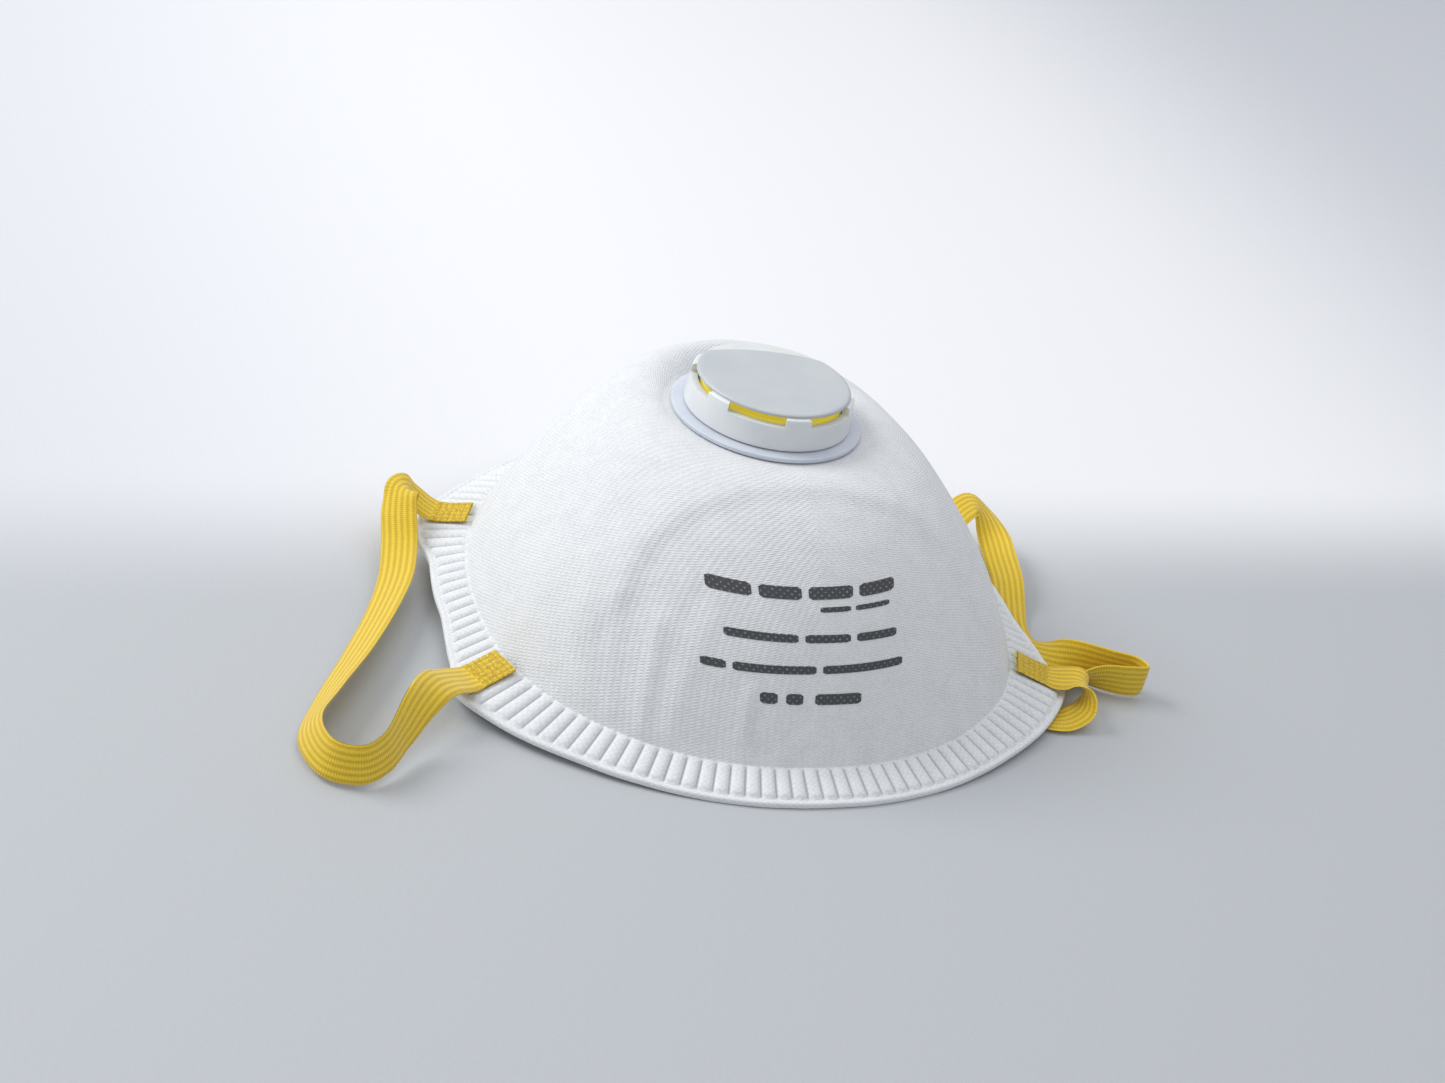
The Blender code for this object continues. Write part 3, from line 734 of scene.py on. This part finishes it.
def lathed(name, outline, radius=0.00025, closed=True):
    """A profile of radius and height turned round the valve's axis."""
    profile = eased(outline, radius, closed)
    if closed:
        profile = np.concatenate((profile, profile[:1]))
    angle = np.arange(LATHE_STEPS) * 2 * pi / LATHE_STEPS
    rows = np.stack([round_seat(r, angle, z) for r, z in profile])
    run = np.concatenate(([0], np.cumsum(np.linalg.norm(np.diff(profile, axis=0), axis=1))))
    around = np.linspace(-pi, pi, LATHE_STEPS + 1) * PLATE_RADIUS
    uv = cloth_grid(around, run[:, None])
    return lay_mesh(name, rows[::-1], uv[::-1], closed=True)


def bar_section(width, height):
    """The section of a bar with rounded corners: sideways and up."""
    x, z = width / 2, height / 2
    return eased([(-x, -z), (x, -z), (x, z), (-x, z)], BAR_ROUND, True)


def section_at(section, reach, turn, level):
    """That section on a bar that runs straight out from the valve's axis."""
    ring = []
    for side, rise in section:
        x = reach * cos(turn) - side * sin(turn)
        y = reach * sin(turn) + side * cos(turn)
        ring.append(list(SEAT @ Vector((x, y, level + rise))))
    return ring


def moulded(name, light, edge_tint, roughness):
    """Translucent polypropylene: a soft bloom, and faint flow mottling into a paler tint."""
    plastic = Finish(
        name, light, roughness, Subsurface_Weight=0.25, Subsurface_Scale=0.0015,
        Subsurface_Radius=(1.0, 1.0, 1.0), Coat_Weight=0.12, Coat_Roughness=0.35,
    )
    flow = plastic.grain(120.0, 2.0)
    speck = plastic.grain(2600.0, 2.0)
    plastic.feed("Base Color", plastic.blend(flow.step(0.3, 0.75), light, edge_tint))
    plastic.feed("Roughness", flow * 0.12 + (roughness - 0.06))
    plastic.relief(speck * 0.5 + flow * 0.5, 0.00003)
    return plastic


plate_plastic = moulded("bluish_polypropylene", PLATE_BLUE, PLATE_EDGE, 0.36)
seat_parts = [
    lathed(
        "seat_plate",
        [
            (THROAT_RADIUS, LIP_TOP),
            (THROAT_RADIUS, PLATE_TOP),
            (PLATE_RADIUS, PLATE_TOP),
            (PLATE_RADIUS, CLEARANCE),
            (THROAT_RADIUS, CLEARANCE),
            (THROAT_RADIUS, THROAT_END),
            (THROAT_BORE, THROAT_END),
            (THROAT_BORE, LIP_TOP),
        ],
    ),
    lathed(
        "seat_hub",
        [
            (0.00001, PIN_TOP),
            (PIN_RADIUS, PIN_TOP),
            (PIN_RADIUS, LIP_TOP),
            (HUB_RADIUS, LIP_TOP),
            (HUB_RADIUS, LIP_TOP - HUB_DEPTH),
            (0.00001, LIP_TOP - HUB_DEPTH),
        ],
        closed=False,
    ),
]
spoke_section = bar_section(SPOKE_WIDTH, SPOKE_DEPTH)
spoke_reach = np.linspace(HUB_RADIUS / 2, THROAT_BORE + SPOKE_ROOT, 6)
spoke_level = LIP_TOP - HUB_DEPTH / 2
for k in range(SPOKES):
    turn = 2 * pi / SPOKES * (k + 0.5)
    rows = [section_at(spoke_section, reach, turn, spoke_level) for reach in spoke_reach]
    seat_parts.append(lay_mesh(f"spoke_{k}", np.array(rows), closed=True))
valve_seat = joined("valve_base", seat_parts)
plate_plastic.dress(valve_seat)
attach(valve_seat, "mask")
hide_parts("valve_seat")


# ---------------------------------------------------------------- valve ring
# The same plastic, pushed over the throat from inside, clamps the layers against the seat.
RING_TOP = -0.0042
RING_RADIUS = 0.0192
RING_THICKNESS = 0.0012
RING_COLLAR = 0.0010
ring_bore = THROAT_RADIUS + CLEARANCE
valve_ring = lathed(
    "valve_clamp",
    [
        (RING_RADIUS, RING_TOP),
        (RING_RADIUS, RING_TOP - RING_THICKNESS),
        (ring_bore + RING_COLLAR, RING_TOP - RING_THICKNESS),
        (ring_bore + RING_COLLAR, RING_TOP - RING_THICKNESS - RING_COLLAR),
        (ring_bore, RING_TOP - RING_THICKNESS - RING_COLLAR),
        (ring_bore, RING_TOP),
    ],
)
plate_plastic.dress(valve_ring)
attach(valve_ring, "mask")
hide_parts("valve_ring")


# ---------------------------------------------------------------- valve flap
# A thin disc of yellow synthetic rubber, held in the middle by the pin. It lifts off the lip
# on each breath out. A painted glow, a weak emission, stands in for light that comes through
# the pale cap, so that it shows bright in the slots.
FLAP_RADIUS = 0.0156
FLAP_HOLE = 0.0015
FLAP_BEAD = 0.0019
FLAP_YELLOW = (0.66, 0.55, 0.06, 1)
FLAP_OCHRE = (0.60, 0.48, 0.05, 1)
FLAP_PAINTED_GLOW = (0.70, 0.58, 0.06, 1)
flap = lathed(
    "flap_disc",
    [
        (FLAP_RADIUS, FLAP_TOP + FLAP_BEAD),
        (FLAP_RADIUS, FLAP_BASE),
        (FLAP_HOLE, FLAP_BASE),
        (FLAP_HOLE, FLAP_TOP),
        (FLAP_RADIUS - 0.0007, FLAP_TOP),
        (FLAP_RADIUS - 0.0005, FLAP_TOP + FLAP_BEAD),
    ],
    radius=0.00015,
)
# The emission is a painted glow: colour that stands in for light through the cap, not a lamp.
rubber = Finish(
    "yellow_rubber_painted_glow", FLAP_YELLOW, 0.5, Emission_Color=FLAP_PAINTED_GLOW, Emission_Strength=0.45
)
clouds = rubber.grain(300.0).step(0.3, 0.7)
rubber.feed("Base Color", rubber.blend(clouds, FLAP_YELLOW, FLAP_OCHRE))
rubber.relief(rubber.grain(1800.0), 0.00002)
rubber.dress(flap)
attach(flap, "flap")
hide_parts("valve_flap")


# ---------------------------------------------------------------- valve cap
# A flat satin lid on a translucent skirt that flares to its foot, moulded in one; the lid's
# darker grey is painted shade. Six slots under the lid let the breath out. Behind the lid's
# bowed edge the cap steps down to a ledge.
CAP_HEIGHT = 0.0080
LID_THICKNESS = 0.0010
CAP_FOOT = PLATE_TOP + CLEARANCE
CAP_TOP = CAP_FOOT + CAP_HEIGHT
CAP_UNDER = CAP_TOP - LID_THICKNESS
CAP_WALL = 0.0010
LID_RADIUS = 0.0171
CAP_SHOULDER = 0.0180
CAP_FOOT_RADIUS = 0.0186
SLOTS = 6
SLOT_WIDTH = 0.0126
SLOT_HEIGHT = 0.0021
SLOT_RISE = 0.0004
SLOT_CUT = (0.0145, 0.0205)
LEDGE_MIDDLE = radians(85)
LEDGE_HALF_WIDTH = 0.0150
LEDGE_REACH = 0.0100
LEDGE_BOW = 0.0132
LEDGE_DROP = 0.0005
# Down the lid's edge: how far in from its outline, and how far below its top.
LID_SECTION = (
    (0.0180, 0.00008),
    (0.0080, 0.00006),
    (0.0030, 0.00002),
    (0.0012, 0.00000),
    (0.0006, 0.00004),
    (0.0002, 0.00018),
    (0.0000, 0.00045),
    (0.0000, 0.00075),
)
# The lid's grey, darker than the skirt though it is the same plastic, is painted shade.
LID_PAINTED_SHADE = (0.50, 0.535, 0.555, 1)
LID_PAINTED_SHADE_PALE = (0.53, 0.56, 0.57, 1)
SKIRT_WHITE = (0.70, 0.73, 0.745, 1)
SKIRT_PALE = (0.76, 0.78, 0.79, 1)
cap = lathed(
    "valve_cover_shell",
    [
        (0.00001, CAP_TOP - LEDGE_DROP),
        (LID_RADIUS, CAP_TOP - LEDGE_DROP),
        (LID_RADIUS, CAP_UNDER + 0.0002),
        (CAP_SHOULDER, CAP_UNDER + 0.0001),
        (CAP_FOOT_RADIUS - 0.0002, CAP_FOOT + 0.0012),
        (CAP_FOOT_RADIUS, CAP_FOOT),
        (CAP_FOOT_RADIUS - CAP_WALL, CAP_FOOT),
        (LID_RADIUS - CAP_WALL, CAP_UNDER),
        (0.00001, CAP_UNDER),
    ],
    radius=0.0004,
)
cap.data.flip_normals()


def cut_slot(shell, k):
    """Open one slot in the skirt with a rounded bar."""
    section = bar_section(SLOT_WIDTH, SLOT_HEIGHT)
    turn = 2 * pi * k / SLOTS
    level = CAP_UNDER - SLOT_HEIGHT / 2 + SLOT_RISE
    start, end = [section_at(section, reach, turn, level) for reach in SLOT_CUT]
    count = len(section)
    faces = [(i, (i + 1) % count, count + (i + 1) % count, count + i) for i in range(count)]
    faces += [tuple(range(count))[::-1], tuple(range(count, 2 * count))]
    mesh = bpy.data.meshes.new(f"slot_{k}")
    mesh.from_pydata(start + end, [], faces)
    cutter = bpy.data.objects.new(f"slot_{k}", mesh)
    bpy.context.scene.collection.objects.link(cutter)
    cut = shell.modifiers.new("cut", "BOOLEAN")
    cut.operation = "DIFFERENCE"
    cut.solver = "EXACT"
    cut.object = cutter
    graph = bpy.context.evaluated_depsgraph_get()
    opened = bpy.data.meshes.new_from_object(shell.evaluated_get(graph))
    shell.modifiers.clear()
    shell.data = opened
    bpy.data.objects.remove(cutter)


for k in range(SLOTS):
    cut_slot(cap, k)

skirt_plastic = moulded("translucent_skirt", SKIRT_WHITE, SKIRT_PALE, 0.38)
lid_plastic_with_painted_shade = moulded("lid_with_painted_shade", LID_PAINTED_SHADE, LID_PAINTED_SHADE_PALE, 0.42)
skirt_plastic.dress(cap)
cap.data.shade_smooth()
cap.data.set_sharp_from_angle(angle=radians(38))

lid_angles = np.arange(LATHE_STEPS) * 2 * pi / LATHE_STEPS
turned = lid_angles - LEDGE_MIDDLE
bow = LEDGE_BOW - LEDGE_REACH
bow_radius = (LEDGE_HALF_WIDTH**2 + bow**2) / 2 / bow
bow_centre = LEDGE_BOW - bow_radius
ahead = bow_centre * np.cos(turned)
lid_outline = ahead + np.sqrt(bow_radius**2 - bow_centre**2 + ahead**2)
lid_outline = np.minimum(LID_RADIUS, lid_outline)
lid_rows = []
for inset, drop in LID_SECTION:
    radius = np.maximum(lid_outline - inset, 0.00001)
    lid_rows.append(round_seat(radius, lid_angles, CAP_TOP - drop))
lid = lay_mesh("lid_plate", np.stack(lid_rows), closed=True)
lid_plastic_with_painted_shade.dress(lid)
cap = joined("valve_cover", [cap, lid])

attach(cap, "mask")
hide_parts("valve_cap")


# ---------------------------------------------------------------- nose foam
# A strip of closed-cell foam stuck to the lining across the bridge of the nose.
FOAM_WIDTH = 0.0128
FOAM_THICKNESS = 0.0044
FOAM_DEPTH = 0.0048
FOAM_HALF_ANGLE = radians(40)
FOAM_PLACE = 0.70
FOAM_GREY = (0.40, 0.41, 0.43, 1)
PORE_GREY = (0.30, 0.31, 0.33, 1)
BAND_ROWS = 72
BAND_SIDES = 40

def band_on_wall(name, half_angle, place, depth, width, thickness, corner):
    """A strip laid along the wall, its middle that deep under the outer face."""
    angles = np.linspace(pi / 2 - half_angle, pi / 2 + half_angle, BAND_ROWS)
    level = np.full(BAND_ROWS, place)
    nudge = 0.01
    down = (cup_wall(angles, level + nudge) - cup_wall(angles, level - nudge)) / (2 * nudge)
    around = cup_wall(angles + nudge, level) - cup_wall(angles - nudge, level)
    run = np.linalg.norm(np.diff(cup_wall(angles, level), axis=0), axis=1)
    run = np.concatenate(([0], np.cumsum(run)))
    from_end = np.clip(np.minimum(run, run[-1] - run) / (width * 0.35), 0, 1)
    ends = np.sqrt(1 - (1 - from_end) ** 2) * 0.98 + 0.02
    inward = unit(np.cross(around, down))
    if inward[BAND_ROWS // 2, 1] > 0:
        inward = -inward
    rows = []
    for turn in np.linspace(0, 2 * pi, BAND_SIDES + 1)[:-1]:
        wide = np.sign(cos(turn)) * abs(cos(turn)) ** corner * width / 2
        deep = np.sign(sin(turn)) * abs(sin(turn)) ** corner * thickness / 2
        share = wide * ends / np.linalg.norm(down, axis=-1)
        over = cup_wall(angles, level + share)
        rows.append(over + inward * (depth + deep * np.sqrt(ends))[:, None])
    uv = cloth_grid(np.linspace(0, 2 * width, BAND_SIDES + 1), run[:, None])
    return lay_mesh(name, np.stack(rows, 1), uv, closed=True)


foam = band_on_wall(
    "foam_strip", FOAM_HALF_ANGLE, FOAM_PLACE, FOAM_DEPTH + FOAM_THICKNESS / 2, FOAM_WIDTH,
    FOAM_THICKNESS, 0.5,
)
cells = Finish("foam_cells", FOAM_GREY, 0.95)
foam_place = cells.node("ShaderNodeTexCoord", out=3)
pore = cells.node("ShaderNodeTexVoronoi", None, {"Vector": foam_place, "Scale": 1900.0})
cells.feed("Base Color", cells.blend(pore.step(0.1, 0.6), PORE_GREY, FOAM_GREY))
cells.relief(pore + cells.grain(900.0) * 0.3, 0.00018)
cells.dress(foam)
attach(foam, "mask")
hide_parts("nose_foam")


# ---------------------------------------------------------------- nose clip
# A soft aluminium strip glued to the outside of the cover; the wearer bends it to fit.
CLIP_HALF_ANGLE = radians(36)
CLIP_PLACE = 0.66
CLIP_WIDTH = 0.0050
CLIP_THICKNESS = 0.0008
CLIP_LIFT = 0.0002
CLIP_SILVER = (0.70, 0.71, 0.72, 1)
strip = Finish("soft_aluminium", CLIP_SILVER, 0.36, Metallic=1.0)
scratches = strip.grain(700.0, 5.0)
strip.feed("Roughness", scratches * 0.25 + 0.24)
strip.relief(scratches, 0.00003)
clip = band_on_wall(
    "bent_clip", CLIP_HALF_ANGLE, CLIP_PLACE, -CLIP_LIFT - CLIP_THICKNESS / 2, CLIP_WIDTH,
    CLIP_THICKNESS, 0.3,
)
strip.dress(clip)
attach(clip, "mask")
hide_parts("nose_clip")


# ---------------------------------------------------------------- straps
# Two bands of woven polyester elastic, 8 mm wide with six cords. Each is hot-welded by its
# ends on top of the flange's tabs and lies where it fell. They are the only free cords.
STRAP_WIDTH = 0.0080
STRAP_HALF_THICKNESS = 0.00037
STRAP_CORDS = 6
CORD_HEIGHT = 0.00009
STRAP_LIFT = 0.0013
UPPER_WELD = radians(25)
LOWER_WELD = radians(-24)
WELD_START = 0.12
WELD_END = 0.86
WELD_LENGTH = 0.0082
WAFFLE_PITCH = 0.00140
WAFFLE_DEPTH = 0.00026
STRAP_ROWS = 260
WELD_ROWS = 44
STRAP_COLUMNS = 36
FRAYS = 30
FRAY_WIDTH = 0.00024
WEFT_PITCH = 0.00052
STRAP_YELLOW = (0.83, 0.60, 0.030, 1)
# STRAP_SHADE is the dark end of the yarn tone and also the painted shade between the cords.
STRAP_SHADE = (0.60, 0.38, 0.008, 1)
STRAP_FRAY = (0.90, 0.84, 0.45, 1)
WELD_YELLOW = (0.72, 0.50, 0.015, 1)
WELD_SHADE = (0.44, 0.27, 0.004, 1)
LEFT_ROUTE = (
    ((-0.0688, 0.0322, 0.0104), (0.35, 0.92, 0.15)),
    ((-0.0706, 0.0316, 0.0128), (0.10, 0.98, 0.10)),
    ((-0.0724, 0.0292, 0.0134), (-0.40, 0.90, 0.05)),
    ((-0.0734, 0.0245, 0.0106), (-0.80, 0.60, 0.00)),
    ((-0.0740, 0.0175, 0.0070), (-0.92, 0.36, -0.10)),
    ((-0.0764, 0.0070, 0.0052), (-0.90, 0.28, -0.32)),
    ((-0.0815, -0.0055, 0.0048), (-0.82, 0.30, -0.48)),
    ((-0.0888, -0.0200, 0.0046), (-0.74, 0.32, -0.58)),
    ((-0.0970, -0.0345, 0.0046), (-0.62, 0.26, -0.74)),
    ((-0.1018, -0.0450, 0.0048), (-0.50, 0.05, -0.86)),
    ((-0.1000, -0.0540, 0.0048), (-0.25, -0.25, -0.93)),
    ((-0.0938, -0.0568, 0.0048), (0.00, -0.35, -0.93)),
    ((-0.0885, -0.0540, 0.0052), (0.15, -0.35, -0.92)),
    ((-0.0842, -0.0482, 0.0066), (0.25, -0.40, -0.88)),
    ((-0.0800, -0.0424, 0.0088), (0.35, -0.60, -0.70)),
    ((-0.0762, -0.0378, 0.0094), (0.40, -0.82, -0.35)),
    ((-0.0728, -0.0345, 0.0080), (0.42, -0.90, -0.10)),
)
RIGHT_ROUTE = (
    ((0.0695, 0.0330, 0.0106), (-0.30, 0.92, 0.20)),
    ((0.0728, 0.0340, 0.0112), (0.00, 0.95, 0.20)),
    ((0.0752, 0.0318, 0.0092), (0.55, 0.80, 0.15)),
    ((0.0762, 0.0265, 0.0066), (0.85, 0.30, 0.35)),
    ((0.0754, 0.0190, 0.0050), (0.75, 0.05, 0.65)),
    ((0.0740, 0.0110, 0.0038), (0.80, -0.20, 0.55)),
    ((0.0718, 0.0035, 0.0020), (0.90, -0.35, 0.15)),
    ((0.0694, -0.0045, 0.0012), (0.95, -0.20, 0.03)),
    ((0.0692, -0.0115, 0.0013), (0.97, 0.20, 0.05)),
    ((0.0722, -0.0172, 0.0026), (0.75, 0.50, 0.45)),
    ((0.0780, -0.0212, 0.0045), (0.15, 0.25, 0.95)),
    ((0.0850, -0.0243, 0.0047), (0.00, 0.00, 1.00)),
    ((0.0900, -0.0268, 0.0047), (0.00, 0.00, 1.00)),
    ((0.0912, -0.0304, 0.0047), (0.00, 0.00, 1.00)),
    ((0.0866, -0.0306, 0.0047), (0.00, 0.00, 1.00)),
    ((0.0806, -0.0289, 0.0045), (0.00, -0.25, 0.95)),
    ((0.0742, -0.0268, 0.0026), (0.00, -0.80, 0.55)),
    ((0.0685, -0.0262, 0.0011), (0.05, -1.00, 0.05)),
    ((0.0625, -0.0278, 0.0010), (0.55, -0.80, 0.00)),
    ((0.0592, -0.0325, 0.0010), (0.98, -0.20, 0.00)),
    ((0.0600, -0.0375, 0.0010), (0.80, 0.60, 0.00)),
    ((0.0640, -0.0400, 0.0010), (0.10, 0.99, 0.00)),
    ((0.0680, -0.0402, 0.0013), (0.00, 1.00, 0.00)),
    ((0.0718, -0.0390, 0.0031), (0.05, 0.99, 0.00)),
    ((0.0730, -0.0366, 0.0059), (0.15, 0.98, 0.05)),
    ((0.0716, -0.0340, 0.0076), (0.30, 0.95, 0.05)),
)


elastic = Finish("woven_elastic", STRAP_YELLOW, 0.72, Sheen_Weight=0.25, Sheen_Roughness=0.5)
across, along = elastic.cloth()
# The cords' wave darkens the gaps between the cords: painted shade in those grooves, mixed with the
# real weave and yarn tone.
cords = across.wave(STRAP_WIDTH / STRAP_CORDS)
weft = along.wave(WEFT_PITCH)
yarn = elastic.grain(2600.0)
cord_shade_and_yarn_tone = cords * 0.45 + weft * 0.20 + yarn * 0.45
strap_colour_with_cord_shade = elastic.blend(cord_shade_and_yarn_tone.step(0.25, 0.85), STRAP_SHADE, STRAP_YELLOW)
elastic.feed("Base Color", strap_colour_with_cord_shade)
elastic.relief(weft * 0.55 + yarn * 0.6, 0.00010)

melted = Finish("welded_elastic", WELD_YELLOW, 0.5)
melt_across, melt_along = melted.cloth()
lines_along = melt_across.wave(WAFFLE_PITCH).step(0.80, 1.0)
lines_across = melt_along.wave(WAFFLE_PITCH).step(0.80, 1.0)
lines = lines_along + lines_across
specks = melted.grain(2400.0, 4.0)
melt_tone = melted.blend(specks.step(0.30, 0.60), WELD_SHADE, WELD_YELLOW)
melt_tone = melted.blend(lines.step(0.0, 1.0) * 0.65, melt_tone, WELD_SHADE)
melted.feed("Base Color", melted.blend(specks.step(0.64, 0.76) * 0.6, melt_tone, STRAP_FRAY))
melted.relief(specks, 0.00006)

frayed = Finish("frayed_elastic", STRAP_FRAY, 0.85)
frayed.relief(frayed.grain(3000.0), 0.00008)


def weld_rows(phi, sign):
    """Where a strap's end lies on the flange, from the cup outwards, and its cross way."""
    shares = np.array((WELD_START, WELD_END))
    places = flange(np.array((phi, phi)), shares) + np.array((0, 0, STRAP_LIFT))
    ways = flange(np.array((phi + 0.01,)), 0.5) - flange(np.array((phi - 0.01,)), 0.5)
    ways = unit(ways)[0]
    if ways[1] * sign < 0:
        ways = -ways
    return places, np.array((ways, ways))


def lay_strap(name, side, route):
    """A band with rounded edges and raised cords, its two ends pressed into a waffle."""
    upper, upper_ways = weld_rows(UPPER_WELD if side > 0 else pi - UPPER_WELD, 1)
    lower, lower_ways = weld_rows(LOWER_WELD if side > 0 else pi - LOWER_WELD, side)
    points = np.array([place for place, way in route])
    ways = unit(np.array([way for place, way in route]))
    points = np.concatenate((upper, points, lower[::-1]))
    ways = np.concatenate((upper_ways, ways, lower_ways[::-1]))
    fine = np.linspace(0, 1, 4 * STRAP_ROWS)
    line = smooth_through(points, fine)
    run = np.concatenate(([0], np.cumsum(np.linalg.norm(np.diff(line, axis=0), axis=1))))
    length = run[-1]
    ends = np.linspace(0, WELD_LENGTH, WELD_ROWS)
    distance = np.linspace(WELD_LENGTH, length - WELD_LENGTH, STRAP_ROWS)[1:-1]
    distance = np.concatenate((ends, distance, length - ends[::-1]))
    t = np.interp(distance, run, fine)
    middle = smooth_through(points, t)
    way = unit(np.gradient(middle, distance, axis=0))
    cross = smooth_through(ways, t)
    cross = unit(cross - way * (cross * way).sum(1, keepdims=True))
    up = np.cross(cross, way)
    up *= np.sign(up[0, 2])
    share = np.linspace(-1, 1, STRAP_COLUMNS)
    body = STRAP_HALF_THICKNESS * (1 - np.abs(share) ** 6) ** 0.5
    ridge = CORD_HEIGHT * np.abs(np.cos(pi * share * STRAP_CORDS / 2)) * (1 - share**8)
    height = np.concatenate((body + ridge, -(body + ridge)[::-1]))
    offset = np.concatenate((share, share[::-1])) * STRAP_WIDTH / 2
    from_end = np.minimum(distance, length - distance)
    welded = np.clip((WELD_LENGTH - from_end) / 0.0006, 0, 1)[:, None]
    waffle = np.sin(pi * offset / WAFFLE_PITCH) * np.sin(pi * distance / WAFFLE_PITCH)[:, None]
    pillows = np.clip(np.abs(waffle) * 2.2, 0, 1)
    pinch = np.exp(-(((from_end - WELD_LENGTH - 0.0003) / 0.0005) ** 2))[:, None]
    flat = np.concatenate((body, -body[::-1]))
    thick = height[None] * (1 - welded) + flat[None] * welded
    thick = thick * (1 - 0.55 * pinch)
    thick = thick + welded * WAFFLE_DEPTH * (pillows - 0.9) * (height > 0)
    rows = middle[:, None] + cross[:, None] * offset[None, :, None] + up[:, None] * thick[..., None]
    columns = np.concatenate((offset, offset[:1]))
    uv = cloth_grid(columns, distance[:, None])
    band = lay_mesh(name + "_band", rows, uv, closed=True)
    elastic.dress(band)
    band.data.materials.append(melted.material)
    width = len(offset)
    for face in band.data.polygons:
        face.material_index = int(from_end[face.index // width] < WELD_LENGTH - 0.0001)
    frays = [fray(name, k, rows, way, up) for k in range(FRAYS)]
    band = joined(name, [band, *frays])
    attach(band, "mask")
    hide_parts("strap_left" if side < 0 else "strap_right")
    path = middle[::3].tolist()
    path[-1] = middle[-1].tolist()


def fray(name, k, rows, way, up):
    """One loose thread at a cut end of the band."""
    end = 0 if k % 2 else -1
    spot = 1 + (k * 7) % (STRAP_COLUMNS - 2)
    root = (rows[end][spot] + rows[end][2 * STRAP_COLUMNS - 1 - spot]) / 2
    outward = -way[0] if end == 0 else way[-1]
    sideways = np.cross(up[end], outward)
    reach = 0.0005 + 0.0009 * ((k * 5) % 7) / 6
    lean = 0.5 * (((k * 3) % 5) / 2 - 1)
    s = np.linspace(0, 1, 4)[:, None]
    line = root + outward * reach * s + sideways * lean * reach * s**2 - up[end] * 0.0001 * s
    width = FRAY_WIDTH * (1 - 0.7 * s)
    ring = (sideways, up[end], -sideways, -up[end])
    thread = np.stack([line + side * width * 0.5 for side in ring], 1)
    return frayed.dress(lay_mesh(f"{name}_fray_{k}", thread, closed=True))


lay_strap("left_strap", -1, LEFT_ROUTE)
lay_strap("right_strap", 1, RIGHT_ROUTE)


# ---------------------------------------------------------------- floor and light
# A pale table top with a faint grain, brighter far behind, under soft studio light.
FLOOR_SIZE = 6.0
FLOOR_GREY = (0.475, 0.495, 0.515, 1)
FLOOR_PAINTED_POOL_WHITE = (0.83, 0.835, 0.85, 1)
FLOOR_SIDE = (0.61, 0.625, 0.66, 1)
# Where the table turns from grey to white behind the mask, its slant, and where the white
# fades again to either side of its brightest place; that bright place is a painted pool of light.
FAR_TURN = (0.004, 0.064)
FAR_SLANT = 0.03
PAINTED_POOL_MIDDLE = 0.10
PAINTED_POOL_FADE = (0.08, 0.32)
STUDIO_TINT = (0.93, 0.95, 1.0, 1)
STUDIO_STRENGTH = 0.62
floor_mesh = bpy.data.meshes.new("floor")
corners = [(-FLOOR_SIZE, -FLOOR_SIZE, 0), (FLOOR_SIZE, -FLOOR_SIZE, 0)]
corners += [(FLOOR_SIZE, FLOOR_SIZE, 0), (-FLOOR_SIZE, FLOOR_SIZE, 0)]
floor_mesh.from_pydata(corners, [], [(0, 1, 2, 3)])
floor = bpy.data.objects.new("floor", floor_mesh)
bpy.context.scene.collection.objects.link(floor)
table = Finish("pale_table", FLOOR_GREY, 0.62)
place = table.node("ShaderNodeTexCoord", out=3)
px = table.node("ShaderNodeSeparateXYZ", None, {0: place}, out=0)
py = table.node("ShaderNodeSeparateXYZ", None, {0: place}, out=1)
# The white is brightest at one place and greys towards the sides: a painted pool of light.
from_pool_middle = px - PAINTED_POOL_MIDDLE
painted_pool_falloff = from_pool_middle.math("ABSOLUTE", from_pool_middle).step(*PAINTED_POOL_FADE)
far_white_with_painted_pool = table.blend(painted_pool_falloff, FLOOR_PAINTED_POOL_WHITE, FLOOR_SIDE)
far = (py - px * FAR_SLANT).step(*FAR_TURN)
table.feed("Base Color", table.blend(far, FLOOR_GREY, far_white_with_painted_pool))
table.relief(table.grain(900.0, 4.0), 0.00006)
table.dress(floor)


def soft_light(name, place, target, size, power, tint):
    lamp = bpy.data.lights.new(name, "AREA")
    lamp.shape = "DISK"
    lamp.size = size
    lamp.energy = power
    lamp.color = tint
    item = bpy.data.objects.new(name, lamp)
    item.location = place
    aim = Vector(target) - Vector(place)
    item.rotation_mode = "QUATERNION"
    item.rotation_quaternion = aim.to_track_quat("-Z", "Y")
    bpy.context.scene.collection.objects.link(item)


soft_light("window", (-0.80, 0.45, 0.75), (0, 0, 0.02), 0.6, 7.9, (1.0, 1.0, 1.0))
soft_light("sky_panel", (0.1, 0.25, 1.2), (0, 0, 0), 1.2, 3.6, (0.98, 0.99, 1.0))
soft_light("front_fill", (-0.7, -0.8, 0.5), (0, 0, 0.03), 0.8, 0.5, (1.0, 0.99, 0.98))

world = bpy.data.worlds.new("studio")
world.use_nodes = True
surroundings = world.node_tree.nodes["Background"]
surroundings.inputs["Color"].default_value = STUDIO_TINT
surroundings.inputs["Strength"].default_value = STUDIO_STRENGTH
bpy.context.scene.world = world
bpy.context.scene.view_settings.view_transform = "Standard"
